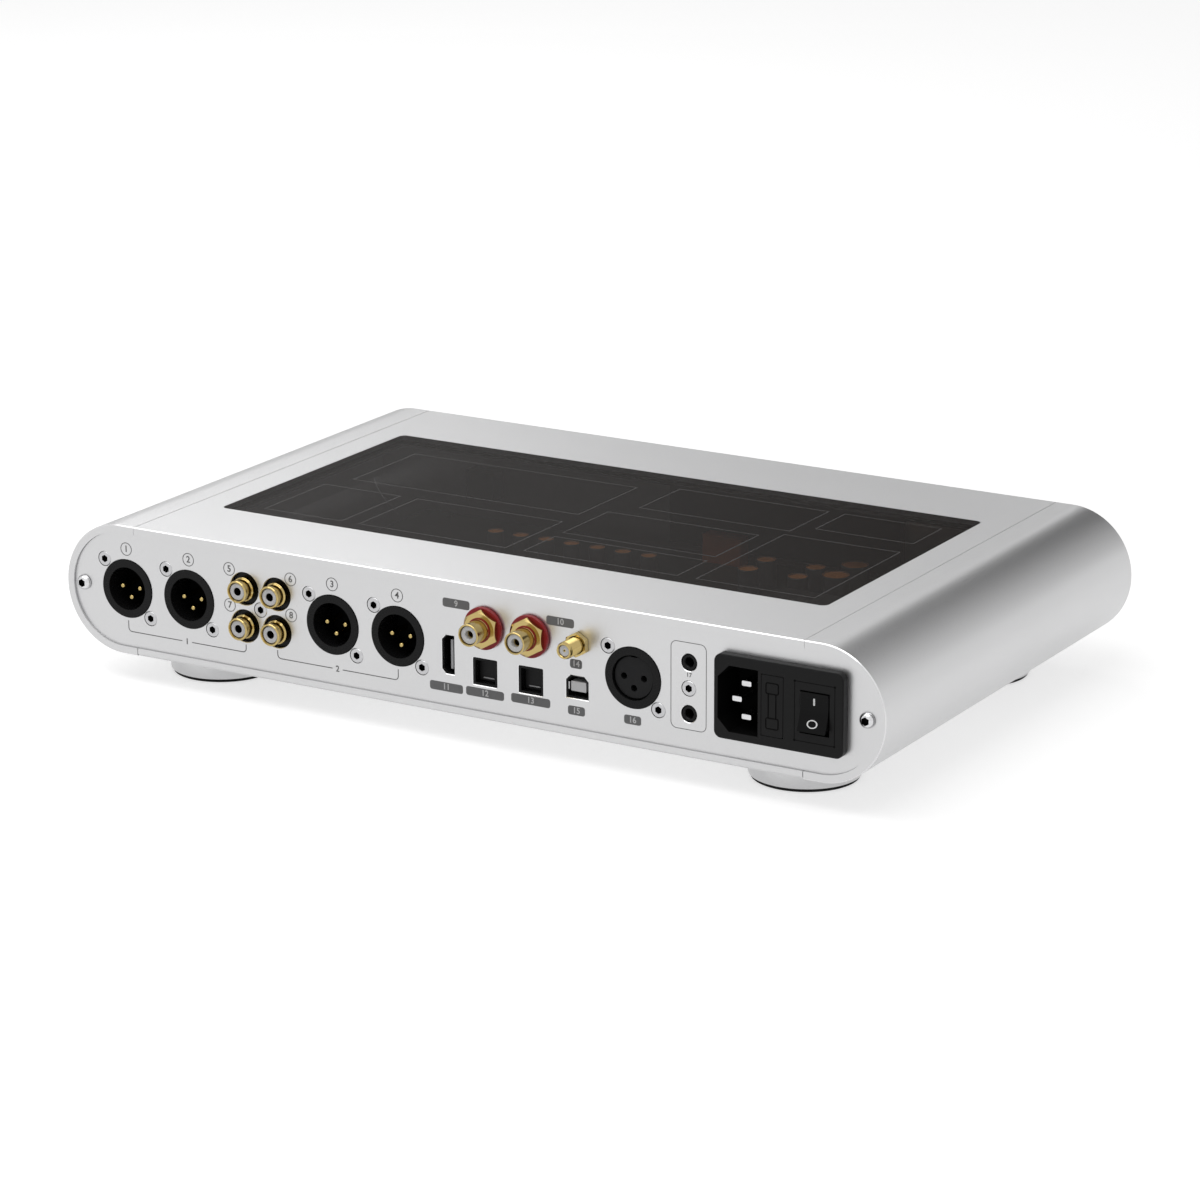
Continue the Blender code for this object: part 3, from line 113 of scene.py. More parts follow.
for place_u, place_v in [*BALANCED_OUT, BALANCED_IN]:
    SOCKET_SCREWS += [(place_u - 11.0, place_v + 11.0), (place_u + 11.0, place_v - 11.0)]

# Places on the front panel and under the body
LENS = (-30.0, 0.0)
LENS_SIZE = (110.4, 26.4)
KNOB = (118.0, 0.0)
FEET = {
    "front_left": (-134.4, -74.3),
    "front_right": (134.4, -74.3),
    "rear_left": (-134.4, 74.3),
    "rear_right": (134.4, 74.3),
}


# Finishes

WHITE = (1.0, 1.0, 1.0, 1.0)
GRAIN_DEPTH = 0.00003
SMOOTH_ANGLE = math.radians(20.0)
ALUMINIUM = ("blasted_aluminium", "cut_aluminium")
FINISHES = {}


def dial(node, values):
    """Set a node's inputs by name or place."""
    for name, value in values.items():
        node.inputs[name].default_value = value


def new_material(name):
    """Plain material with its tree and its shader."""
    material = bpy.data.materials.new(name)
    material.use_nodes = True
    tree = material.node_tree
    return material, tree, tree.nodes["Principled BSDF"]


def finish(name, colour, roughness, metallic=0.0, cloud=0.05, patch=22.0, grain=1500.0, uneven=0.05,
           relief=0.0, shine=0.5):
    """Finish with faint clouds in its colour and a fine grain in its gloss and surface."""
    material, tree, shader = new_material(name)
    dial(shader, {"Metallic": metallic, "Specular IOR Level": shine})
    link = tree.links.new
    where = tree.nodes.new("ShaderNodeTexCoord")

    clouds = tree.nodes.new("ShaderNodeTexNoise")
    dial(clouds, {"Scale": patch, "Detail": 4.0})
    link(where.outputs["Object"], clouds.inputs["Vector"])
    shades = tree.nodes.new("ShaderNodeMix")
    shades.data_type = "RGBA"
    darker = [c * (1.0 - cloud) for c in colour]
    lighter = [min(c * (1.0 + cloud), 1.0) for c in colour]
    dial(shades, {6: (*darker, 1.0), 7: (*lighter, 1.0)})
    link(clouds.outputs["Fac"], shades.inputs["Factor"])
    link(shades.outputs[2], shader.inputs["Base Color"])

    grains = tree.nodes.new("ShaderNodeTexNoise")
    dial(grains, {"Scale": grain, "Detail": 3.0})
    link(where.outputs["Object"], grains.inputs["Vector"])
    gloss = tree.nodes.new("ShaderNodeMapRange")
    dial(gloss, {"From Min": 0.3, "From Max": 0.7})
    dial(gloss, {"To Min": max(roughness - uneven, 0.02), "To Max": min(roughness + uneven, 1.0)})
    link(grains.outputs["Fac"], gloss.inputs["Value"])
    link(gloss.outputs["Result"], shader.inputs["Roughness"])
    if relief:
        bump = tree.nodes.new("ShaderNodeBump")
        dial(bump, {"Strength": relief, "Distance": GRAIN_DEPTH})
        link(grains.outputs["Fac"], bump.inputs["Height"])
        link(bump.outputs["Normal"], shader.inputs["Normal"])
    FINISHES[name] = material


finish("blasted_aluminium", (0.605, 0.605, 0.61), 0.33, 1.0, cloud=0.02, grain=4200.0, uneven=0.06,
       relief=0.25)
finish("cut_aluminium", (0.70, 0.70, 0.705), 0.20, 1.0, cloud=0.02, grain=2600.0)
finish("smoked_glass", (0.017, 0.0115, 0.009), 0.045, cloud=0.15, uneven=0.02)
finish("black_moulding", (0.008, 0.008, 0.0082), 0.38, cloud=0.12, grain=2400.0, relief=0.2, shine=0.14)
finish("socket_black", (0.006, 0.006, 0.0063), 0.27, cloud=0.12, grain=2000.0, shine=0.14)
# Deep black for black parts and print, and also painted shade in the hollows of screws, jacks, sockets and
# the plug well.
finish("deep_black_and_painted_shade", (0.003, 0.003, 0.003), 0.6, cloud=0.2, shine=0.03)
finish("dark_moulding", (0.012, 0.012, 0.0125), 0.45, cloud=0.12, grain=1800.0, relief=0.2, shine=0.14)
finish("glossy_black", (0.0035, 0.0035, 0.0037), 0.2, cloud=0.12, grain=2000.0, shine=0.1)
# Pale grey moulding for the link tongue, and also a painted highlight on the optical shutters' lips.
finish("pale_moulding_and_painted_highlight", (0.40, 0.40, 0.41), 0.42, cloud=0.06, patch=200.0)
finish("white_moulding", (0.66, 0.66, 0.67), 0.4, cloud=0.05, patch=200.0)
finish("red_moulding", (0.27, 0.009, 0.014), 0.32, cloud=0.1, patch=120.0, shine=0.3)
finish("rubber", (0.015, 0.015, 0.015), 0.85, cloud=0.2, grain=1200.0, relief=0.5, shine=0.2)
finish("gilt", (0.475, 0.362, 0.147), 0.12, 1.0, cloud=0.06, patch=160.0, grain=1600.0, uneven=0.04)
finish("polished_steel", (0.66, 0.66, 0.67), 0.18, 1.0, cloud=0.04, grain=1400.0)
finish("dull_steel", (0.52, 0.52, 0.53), 0.34, 1.0, cloud=0.05, grain=1400.0)
finish("clear_glass", (0.72, 0.76, 0.74), 0.06, cloud=0.05, uneven=0.02)
finish("circuit_board", (0.016, 0.020, 0.017), 0.45, cloud=0.35, patch=180.0, grain=1600.0,
       relief=0.015, shine=0.2)
finish("capacitor_sleeve", (0.10, 0.10, 0.105), 0.4, cloud=0.15, patch=150.0)
finish("capacitor_top", (0.95, 0.36, 0.10), 0.38, cloud=0.18, patch=240.0)
finish("film_block", (0.60, 0.16, 0.05), 0.4, cloud=0.15, patch=150.0)
finish("dark_ink", (0.17, 0.17, 0.17), 0.55, cloud=0.1, patch=300.0, shine=0.2)
finish("grey_ink", (0.172, 0.172, 0.174), 0.5, cloud=0.08, patch=300.0, shine=0.2)
finish("pale_ink", (0.60, 0.60, 0.60), 0.5, cloud=0.06, patch=300.0)
finish("white_ink", (0.85, 0.85, 0.85), 0.5, cloud=0.04, patch=300.0)
for glass, cover in (("smoked_glass", 0.44), ("clear_glass", 0.35)):
    dial(FINISHES[glass].node_tree.nodes["Principled BSDF"], {"Alpha": cover})


# Hand work

def only(piece):
    """Select this piece alone."""
    bpy.ops.object.select_all(action="DESELECT")
    piece.select_set(True)
    bpy.context.view_layer.objects.active = piece


def begin(name):
    """Empty piece, open for modelling."""
    bpy.ops.mesh.primitive_plane_add(size=1.0)
    piece = bpy.context.object
    piece.name = name
    piece.data.name = name
    bpy.ops.object.mode_set(mode="EDIT")
    bpy.ops.mesh.select_mode(type="VERT")
    bpy.ops.mesh.delete(type="VERT")
    return piece


def pick(test, kind="VERT"):
    """Select what passes the test in the piece that is open."""
    bpy.ops.mesh.select_mode(type=kind)
    bpy.ops.mesh.select_all(action="DESELECT")
    mesh = bpy.context.object.data
    form = bmesh.from_edit_mesh(mesh)
    for item in {"VERT": form.verts, "EDGE": form.edges, "FACE": form.faces}[kind]:
        if test(item):
            item.select_set(True)
    form.select_flush_mode()
    bmesh.update_edit_mesh(mesh)


def draw_out(x, y, z):
    """Extrude what is selected."""
    bpy.ops.mesh.extrude_region_move(TRANSFORM_OT_translate={"value": (x, y, z)})


def take_all():
    bpy.ops.mesh.select_all(action="SELECT")


def face_out():
    """Turn every face of the open piece outwards."""
    take_all()
    bpy.ops.mesh.normals_make_consistent(inside=False)


def ring(diameter, at=(0.0, 0.0), steps=64):
    bpy.ops.mesh.primitive_circle_add(vertices=steps, radius=diameter / 2, location=(*at, 0.0))


def hexagon(flats):
    ring(flats / math.cos(math.pi / 6), steps=6)


def box(width, height, at=(0.0, 0.0), corner=0.0, steps=6, corners=None):
    """Rectangle; its corners, or those that pass the test, are rounded or, in one step, cut."""
    bpy.ops.mesh.primitive_plane_add(size=1.0, location=(*at, 0.0))
    bpy.ops.transform.resize(value=(width, height, 1.0), center_override=(*at, 0.0))
    if corner:
        if corners:
            mesh = bpy.context.object.data
            form = bmesh.from_edit_mesh(mesh)
            for vertex in form.verts:
                if vertex.select and not corners(vertex.co.x - at[0], vertex.co.y - at[1]):
                    vertex.select_set(False)
            form.select_flush_mode()
            bmesh.update_edit_mesh(mesh)
        bpy.ops.mesh.bevel(offset=corner, segments=steps, affect="VERTICES")
        bpy.ops.mesh.select_linked()
    bpy.ops.mesh.delete(type="ONLY_FACE")


def stadium(width, height, steps=96):
    """Outline with round ends, in a piece that is still empty."""
    half_step = (0.0, 0.0, math.pi / steps)
    bpy.ops.mesh.primitive_circle_add(vertices=steps, radius=height / 2, rotation=half_step)
    for side in (-1, 1):
        pick(lambda vertex: vertex.co.x * side > 0)
        bpy.ops.transform.translate(value=(side * (width - height) / 2, 0.0, 0.0))


def trace(points):
    """Line through the points, in x and y."""
    bpy.ops.mesh.primitive_plane_add(size=1.0)
    bpy.ops.mesh.merge(type="CENTER")
    bpy.ops.transform.translate(value=(points[0][0], points[0][1], 0.0))
    for (x0, y0), (x1, y1) in zip(points, points[1:]):
        draw_out(x1 - x0, y1 - y0, 0.0)


def outline(points):
    """Closed outline through the points, in a piece that is still empty."""
    trace([*points, points[0]])
    take_all()
    bpy.ops.mesh.remove_doubles(threshold=0.001)


def slab(low, high):
    """Fill the outlines, holes left open, and draw them out from low to high."""
    take_all()
    bpy.ops.mesh.fill(use_beauty=True)
    bpy.ops.transform.translate(value=(0.0, 0.0, low))
    draw_out(0.0, 0.0, high - low)
    face_out()


def close():
    bpy.ops.object.mode_set(mode="OBJECT")
    return bpy.context.object


def tool(name, low, high, draw):
    """Plain solid to carve with or to build on, drawn by the given strokes."""
    begin(name)
    draw()
    slab(low, high)
    return close()


def modifier(piece, kind, **settings):
    """Add a modifier to a closed piece and apply it."""
    only(piece)
    bpy.ops.object.modifier_add(type=kind)
    step = piece.modifiers[-1]
    for key, value in settings.items():
        setattr(step, key, value)
    bpy.ops.object.modifier_apply(modifier=step.name)
    return piece


def soften(piece, width, segments=2, angle=40.0):
    """Bevel the sharp edges of a closed piece and clear away what has shrunk to nothing."""
    modifier(piece, "BEVEL", width=width, segments=segments, limit_method="ANGLE",
             angle_limit=math.radians(angle))
    bpy.ops.object.mode_set(mode="EDIT")
    take_all()
    bpy.ops.mesh.dissolve_degenerate(threshold=0.002)
    return close()


def carve(piece, cutter, how="DIFFERENCE"):
    """Cut a piece with another, or join or keep what they share, and take the other away."""
    modifier(piece, "BOOLEAN", operation=how, solver="EXACT", object=cutter)
    bpy.data.objects.remove(cutter)
    return piece


def ease(test, width, segments=2):
    """Bevel the chosen edges of the piece that is open."""
    pick(test, "EDGE")
    bpy.ops.mesh.bevel(offset=width, segments=segments, affect="EDGES")


def turning(name, profile, steps=48):
    """Round piece turned from a profile of (radius, height) points."""
    begin(name)
    start, level = profile[0]
    trace([(start, 0.0)])
    bpy.ops.transform.translate(value=(0.0, 0.0, level))
    for (r0, z0), (r1, z1) in zip(profile, profile[1:]):
        draw_out(r1 - r0, 0.0, z1 - z0)
    take_all()
    bpy.ops.mesh.spin(steps=steps, angle=2 * math.pi, center=(0.0, 0.0, 0.0), axis=(0.0, 0.0, 1.0))
    take_all()
    bpy.ops.mesh.remove_doubles(threshold=0.0005)
    face_out()
    return close()


def another(piece, name):
    """Copy of a piece with a mesh of its own."""
    only(piece)
    bpy.ops.object.duplicate(linked=False)
    twin = bpy.context.object
    twin.name = name
    twin.data.name = name
    return twin


def series(piece, stem, count, first=2):
    """The piece and numbered copies of it."""
    return [piece] + [another(piece, f"{stem}_{i}") for i in range(first, first + count - 1)]


def moved(piece, offset=(0.0, 0.0, 0.0), turn=None, view=Matrix.Identity(4)):
    """Turn a piece, shift it, and set it in a view."""
    only(piece)
    piece.matrix_world = view @ Matrix.Translation(offset) @ (turn or Matrix.Identity(4))
    bpy.ops.object.transform_apply(location=True, rotation=True, scale=True)
    return piece


def weld(pieces):
    """Join several shells to one piece, named as the first."""
    only(pieces[0])
    for piece in pieces[1:]:
        piece.select_set(True)
    if len(pieces) > 1:
        bpy.ops.object.join()
    return pieces[0]


def paint(piece, which, test):
    """Give the chosen faces another of the piece's finishes."""
    for face in piece.data.polygons:
        if test(face.center, face.normal):
            face.material_index = which


def fit(piece, view, at, finishes, body="chassis", stands_for=(), turn=None):
    """Set a finished piece in its place on its body."""
    moved(piece, (*at, 0.0)[:3], turn, view)
    bpy.ops.object.shade_smooth_by_angle(angle=SMOOTH_ANGLE)
    for name in finishes:
        piece.data.materials.append(FINISHES[name])
    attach(piece, body)
    if stands_for:
        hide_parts(*stands_for)
    return piece


def fit_row(piece, stem, places, finishes, node=None):
    """Set a piece and its numbered copies in their places on the rear panel."""
    for i, (one, at) in enumerate(zip(series(piece, stem, len(places)), places), 1):
        fit(one, REAR, at, finishes, stands_for=(f"{node}_{i}",) if node else ())


def number(text, height, at, level):
    """Plain number, drawn out thin, as a mesh."""
    bpy.ops.object.text_add(location=(*at, level))
    mark = bpy.context.object.data
    mark.body = text
    mark.size = height / 0.72
    mark.align_x = "CENTER"
    mark.align_y = "CENTER"
    mark.extrude = 0.02
    mark.resolution_u = 5
    mark.offset = 0.025 * height
    bpy.ops.object.convert(target="MESH")
    bpy.ops.object.transform_apply(location=True, rotation=True, scale=True)
    bpy.ops.object.mode_set(mode="EDIT")
    take_all()
    bpy.ops.mesh.remove_doubles(threshold=0.0005)
    face_out()
    return close()


def stroke(points):
    """Thin printed line through the points."""
    begin("stroke")
    trace(points)
    take_all()
    draw_out(0.0, 0.0, INK)
    return modifier(close(), "SOLIDIFY", thickness=LINE, offset=0.0, use_even_offset=True)


# Camera and studio

def set_camera():
    yaw, pitch, roll = math.radians(-59.34), math.radians(-16.769), math.radians(-0.205)
    ahead = Vector((math.cos(pitch) * math.cos(yaw), math.cos(pitch) * math.sin(yaw), math.sin(pitch)))
    level = Vector((math.sin(yaw), -math.cos(yaw), 0.0))
    upright = level.cross(ahead)
    right = math.cos(roll) * level + math.sin(roll) * upright
    up = math.cos(roll) * upright - math.sin(roll) * level
    bpy.ops.object.camera_add()
    camera = bpy.context.object
    camera.data.lens = 130.69
    camera.data.sensor_width = 36.0
    turn = Matrix((right, up, -ahead)).transposed().to_4x4()
    camera.matrix_world = Matrix.Translation((-0.8643, 1.4577, 0.5400)) @ turn
    bpy.context.scene.camera = camera


def seen_white(tree):
    """One for rays from the camera, from gloss and through glass, nought for the rest."""
    path = tree.nodes.new("ShaderNodeLightPath")
    seen = path.outputs["Is Camera Ray"]
    for ray in ("Is Glossy Ray", "Is Transmission Ray"):
        either = tree.nodes.new("ShaderNodeMath")
        either.operation = "MAXIMUM"
        tree.links.new(seen, either.inputs[0])
        tree.links.new(path.outputs[ray], either.inputs[1])
        seen = either.outputs[0]
    return seen


def set_world():
    world = bpy.data.worlds.new("studio")
    world.use_nodes = True
    tree = world.node_tree
    plain = tree.nodes["Background"]
    dial(plain, {"Color": WHITE, "Strength": 0.4})
    white = tree.nodes.new("ShaderNodeBackground")
    dial(white, {"Color": WHITE, "Strength": 1.0})
    mix = tree.nodes.new("ShaderNodeMixShader")
    tree.links.new(seen_white(tree), mix.inputs[0])
    tree.links.new(plain.outputs[0], mix.inputs[1])
    tree.links.new(white.outputs[0], mix.inputs[2])
    tree.links.new(mix.outputs[0], tree.nodes["World Output"].inputs["Surface"])
    bpy.context.scene.world = world


def set_floor():
    bpy.ops.mesh.primitive_plane_add(size=14.0, location=(0.0, 0.0, -0.0002))
    floor = bpy.context.object
    floor.name = "studio_floor"
    material, tree, shader = new_material("white_floor")
    dial(shader, {"Base Color": (0.6, 0.6, 0.6, 1.0), "Roughness": 0.9, "Specular IOR Level": 0.1,
                  "Emission Color": WHITE})
    glow = tree.nodes.new("ShaderNodeMath")
    glow.operation = "MULTIPLY"
    glow.inputs[1].default_value = 0.6
    tree.links.new(seen_white(tree), glow.inputs[0])
    tree.links.new(glow.outputs[0], shader.inputs["Emission Strength"])
    floor.data.materials.append(material)


def set_lamp(name, at, aim, size, power):
    bpy.ops.object.light_add(type="AREA", location=at)
    lamp = bpy.context.object
    lamp.name = name
    lamp.data.shape = "RECTANGLE"
    lamp.data.size, lamp.data.size_y = size
    lamp.data.energy = power
    lamp.rotation_euler = (Vector(aim) - Vector(at)).to_track_quat("-Z", "Y").to_euler()


def set_flag(name, at, aim, size, tones, fade=(-0.5, 0.5)):
    """Card that only shows in gloss, its tone changing along its length."""
    bpy.ops.mesh.primitive_plane_add(size=1.0)
    card = bpy.context.object
    card.name = name
    card.scale = (*size, 1.0)
    card.rotation_euler = (Vector(aim) - Vector(at)).to_track_quat("-Z", "Y").to_euler()
    card.location = at
    material, tree, shader = new_material(name)
    dial(shader, {"Base Color": (0.01, 0.01, 0.01, 1.0), "Roughness": 1.0, "Specular IOR Level": 0.0,
                  "Emission Color": WHITE})
    where = tree.nodes.new("ShaderNodeTexCoord")
    along = tree.nodes.new("ShaderNodeSeparateXYZ")
    tree.links.new(where.outputs["Object"], along.inputs["Vector"])
    tone = tree.nodes.new("ShaderNodeMapRange")
    dial(tone, {"From Min": fade[0], "From Max": fade[1], "To Min": tones[0], "To Max": tones[1]})
    tree.links.new(along.outputs["X"], tone.inputs["Value"])
    tree.links.new(tone.outputs["Result"], shader.inputs["Emission Strength"])
    card.data.materials.append(material)
    card.visible_camera = False
    card.visible_diffuse = False
    card.visible_shadow = False


bpy.context.scene.view_settings.view_transform = "Standard"
set_camera()
set_world()
set_floor()
set_lamp("overhead", (0.25, 0.65, 1.7), (0.1, 0.2, 0.0), (2.2, 1.2), 17.0)
set_lamp("behind_camera", (-0.2, 2.2, 0.9), (0.0, 0.0, 0.05), (1.4, 1.0), 0.6)
set_lamp("far_left", (1.08, -0.98, 1.04), (0.0, 0.0, 0.05), (0.8, 0.5), 3.1)
set_flag("window_flag", (0.689, -1.161, 0.445), (0.0, 0.0, 0.06), (0.78, 0.18), (0.05, 0.42))
set_flag("cheek_flag", (-0.45, -1.39, 0.72), (-0.17, 0.0, 0.06), (1.5, 1.0), (0.95, 0.07), (-0.5, 0.2))
set_flag("edge_flag", (0.95, -1.28, 0.12), (0.1, 0.0, 0.05), (0.9, 0.22), (0.1, 0.1))


# Shell

def from_axis(point):
    """Distance from the axis of the shell's round end, or from its middle level between the ends."""
    return math.hypot(max(abs(point.x) - ARC_X, 0.0), point.y)


def on_rim(edge):
    """Edge of a cheek's outer curve at its front or rear."""
    first, second = (vertex.co for vertex in edge.verts)
    return (abs(from_axis(first) - ROUND) < 0.01 and abs(from_axis(second) - ROUND) < 0.01
            and abs(abs(first.z) - END) < 0.01 and abs(first.z - second.z) < 0.01)


def make_cheeks():
    """Half-round side pieces with ledges for the plates and a channel for the panel screws."""
    cheek = begin("cheek_right")
    ring(2 * ROUND, (ARC_X, 0.0), 128)
    pick(lambda vertex: vertex.co.x < ARC_X - 0.01)
    bpy.ops.mesh.delete(type="VERT")
    pick(lambda vertex: vertex.co.x < ARC_X + 0.01)
    draw_out(SEAM + GAP - ARC_X, 0.0, 0.0)
    take_all()
    bpy.ops.transform.translate(value=(0.0, 0.0, -END))
    draw_out(0.0, 0.0, 2 * END)
    face_out()
    form = bmesh.from_edit_mesh(cheek.data)
    if sum(face.normal.x for face in form.faces) < 0:
        bpy.ops.mesh.flip_normals()
    close()
    modifier(cheek, "SOLIDIFY", thickness=WALL, offset=-1.0, use_even_offset=True)
    only(cheek)
    bpy.ops.object.mode_set(mode="EDIT")
    ease(on_rim, CHAMFER, 1)
    close()

    shells = [cheek]
    seat = ROUND - WALL - SEAT
    for side in (-1, 1):
        ledge = tool("ledge", -LEDGE_END, LEDGE_END, lambda: box(15.0, 2.5, (150.7, side * (seat - 1.25))))
        shells.append(soften(ledge, 0.3))
    channel = tool("channel", -LEDGE_END, LEDGE_END,
                   lambda: (box(8.0, 9.0, (178.6, 0.2)), ring(3.1, (178.0, 0.2), 24)))
    weld([*shells, channel])
    paint(cheek, 1, lambda centre, normal: 0.3 < abs(normal.z) < 0.95
          and from_axis(centre) > ROUND - CHAMFER)
    twin = another(cheek, "cheek_left")
    only(twin)
    bpy.ops.object.mode_set(mode="EDIT")
    take_all()
    bpy.ops.transform.resize(value=(-1.0, 1.0, 1.0), center_override=(0.0, 0.0, 0.0))
    face_out()
    close()
    for piece, node in ((cheek, "right_cheek"), (twin, "left_cheek")):
        fit(piece, ENDWAYS, (0.0, 0.0), ALUMINIUM, stands_for=(node,))


def make_top():
    cover = begin("top_plate_shell")
    box(2 * (SEAM - GAP), 2 * END)
    box(*WINDOW, corner=2.7)
    slab(TOP - WALL, TOP)
    ease(lambda edge: all(abs(abs(v.co.y) - END) < 0.01 and v.co.z > TOP - 0.01 for v in edge.verts),
         CHAMFER, 1)
    close()
    paint(cover, 1, lambda centre, normal: abs(centre.y) > END - CHAMFER and 0.3 < normal.z < 0.95)
    fit(cover, STANDING, (0.0, 0.0), ALUMINIUM, stands_for=("top_plate",))

    seat = tool("window_seat", TOP - WALL, TOP - 2.2,
                lambda: (box(*WINDOW, corner=2.7), box(269.2, 126.6, corner=2.5)))
    fit(seat, STANDING, (0.0, 0.0), ("deep_black_and_painted_shade",))
    pane = soften(tool("window_pane", TOP - GLASS, TOP, lambda: box(277.2, 134.6, corner=2.5)), 0.3)
    fit(pane, STANDING, (0.0, 0.0), ("smoked_glass",), stands_for=("window_glass",))


def draw_cut(at, width, height=0.0, corner=0.0, steps=1, corners=None, lip=0.0):
    """Outline of a cut-out, grown by its lip; one without a height is round."""
    if height:
        box(width + 2 * lip, height + 2 * lip, at, corner, steps, corners)
    else:
        ring(width + 2 * lip, at, 64 if width > 6.5 else 40)


def sink_cut(at, width, height=0.0, lip=0.0, **corner):
    """Draw the edge of a cut-out in and down to its own size, and on through the plate."""
    def on_edge(vertex):
        u, v = vertex.co.x - at[0], vertex.co.y - at[1]
        if height:
            return abs(u) < width / 2 + lip + 0.01 and abs(v) < height / 2 + lip + 0.01
        return math.hypot(u, v) < width / 2 + lip + 0.01

    pick(lambda edge: edge.is_boundary and all(on_edge(v) for v in edge.verts), "EDGE")
    if lip:
        draw_out(0.0, 0.0, -lip)
        high = height or width
        bpy.ops.transform.resize(value=(width / (width + 2 * lip), high / (high + 2 * lip), 1.0),
                                 center_override=(*at, 0.0))
    draw_out(0.0, 0.0, lip - PLATE)


def plate(name, cuts):
    """Round-ended plate with eased cut-outs, its face at nought."""
    piece = begin(name)
    stadium(*PANEL_SIZE)
    for cut in cuts:
        draw_cut(**cut)
    take_all()
    bpy.ops.mesh.fill(use_beauty=True)
    rim = PANEL_SIZE[1] / 2 - 0.03
    pick(lambda edge: edge.is_boundary and all(from_axis(v.co) > rim for v in edge.verts), "EDGE")
    draw_out(0.0, 0.0, -PLATE)
    for cut in cuts:
        sink_cut(**cut)
    pick(lambda edge: edge.is_boundary, "EDGE")
    bpy.ops.mesh.fill(use_beauty=True)
    face_out()
    close()
    paint(piece, 1, lambda centre, normal: 0.3 < normal.z < 0.95)
    return piece


def make_panels():
    cuts = [dict(at=at, width=24.1, lip=LIP) for at in (*BALANCED_OUT, BALANCED_IN)]
    cuts += [dict(at=at, width=13.4, lip=LIP) for at in PHONO]
    cuts += [dict(at=at, width=9.4, lip=LIP) for at in COAX]
    cuts += [dict(at=at, width=6.8, lip=LIP) for at in TRIGGER]
    cuts += [dict(at=at, width=10.9, height=10.9, corner=0.5, steps=3, lip=LIP) for at in OPTICAL]
    cuts += [dict(at=at, width=6.3) for at in SOCKET_SCREWS]
    cuts += [dict(at=at, width=3.1) for at in PANEL_SCREWS]
    cuts += [
        dict(at=AERIAL, width=7.3, lip=LIP),
        dict(at=LINK, width=5.6, height=15.6, corner=1.9, corners=lambda u, v: u < 0, lip=LIP),
        dict(at=DATA, width=9.9, height=9.1, corner=2.0, corners=lambda u, v: v > 0, lip=LIP),
        dict(at=(INLET[0] - 0.4, INLET[1]), width=52.3, height=27.9),
    ]
    rear = plate("rear_panel_plate", cuts)
    fit(rear, REAR, (0.0, 0.0), ALUMINIUM, stands_for=("rear_panel",))

    lens_cut = dict(at=LENS, width=LENS_SIZE[0], height=LENS_SIZE[1], corner=2.0, steps=6, lip=LIP)
    front = plate("front_panel_plate", [lens_cut, dict(at=KNOB, width=8.3, lip=LIP)])
    fit(front, FRONT, (0.0, 0.0), ALUMINIUM, stands_for=("front_panel",))

    seat = tool("lens_seat", -PLATE, -1.8,
                lambda: (box(*LENS_SIZE, LENS, 2.0), box(106.0, 22.0, LENS, 2.0)))
    fit(seat, FRONT, (0.0, 0.0), ("deep_black_and_painted_shade",))
    lens = soften(tool("lens", -1.6, 0.0, lambda: box(110.0, 26.0, LENS, 2.0)), 0.25)
    fit(lens, FRONT, (0.0, 0.0), ("smoked_glass",), stands_for=("display_lens",))


def in_socket(centre, normal):
    """Face in a screw's hexagon socket, where the socket's shade is painted in deep black."""
    reach = math.hypot(centre.x, centre.y)
    return reach < 1.2 or (reach < 1.65 and abs(normal.z) < 0.1)


def make_screws():
    """Two button screws that hold the panel, and flat ones that hold the sockets."""
    dome = [(3.15 * math.sin(t), 0.2 + 2.4 * math.cos(t)) for t in (math.pi / 20 * i for i in range(11))]
    screw = turning("button_screw_left", [*dome, (1.3, 0.2), (1.3, -9.0), (0.0, -9.0)], 40)
    carve(screw, tool("key_hole", 1.0, 4.0, lambda: hexagon(3.0)))
    # Painted shade: the faces inside the hexagon socket take deep black.
    paint(screw, 1, lambda centre, normal: centre.z > 0.9 and in_socket(centre, normal))
    twin = another(screw, "button_screw_right")
    for piece, at, side in zip((screw, twin), PANEL_SCREWS, ("left", "right")):
        fit(piece, REAR, at, ("polished_steel", "deep_black_and_painted_shade"), stands_for=("panel_screw_" + side,))

    profile = [(0.0, 0.05), (2.75, 0.05), (3.02, -0.2), (3.02, -0.5), (1.4, -2.1), (1.4, -6.0), (0.0, -6.0)]
    flat = turning("socket_screw_1", profile, 40)
    carve(flat, tool("key_hole", -1.6, 1.0, lambda: hexagon(2.7)))
    # Painted shade: the faces inside the hexagon socket take deep black.
    paint(flat, 1, lambda centre, normal: -1.7 < centre.z < 0.0 and in_socket(centre, normal))
    fit_row(flat, "socket_screw", SOCKET_SCREWS, ("dull_steel", "deep_black_and_painted_shade"))


def make_feet():
    """Four round feet, each on a rubber pad."""
    profile = [(2.1, 10.1), (21.5, 10.1), (21.8, 9.8), (21.8, 0.8), (21.6, 0.25), (21.1, 0.0), (5.0, 0.0),
               (5.0, 5.0), (2.1, 5.0), (2.1, 10.1)]
    sole = [(0.0, 1.0), (20.6, 1.0), (20.8, 0.8), (20.8, 0.2), (20.6, 0.0), (0.0, 0.0)]
    foot = turning("standing_foot_front_left", profile, 96)
    pad = turning("standing_pad_front_left", sole, 96)
    others = list(FEET)[1:]
    feet = [foot] + [another(foot, "standing_foot_" + corner) for corner in others]
    pads = [pad] + [another(pad, "standing_pad_" + corner) for corner in others]
    for corner, one, under in zip(FEET, feet, pads):
        fit(one, STANDING, (*FEET[corner], 1.2), ("blasted_aluminium",),
            stands_for=("foot_" + corner,))
        fit(under, STANDING, FEET[corner], ("rubber",), stands_for=("foot_pad_" + corner,))


# Sockets

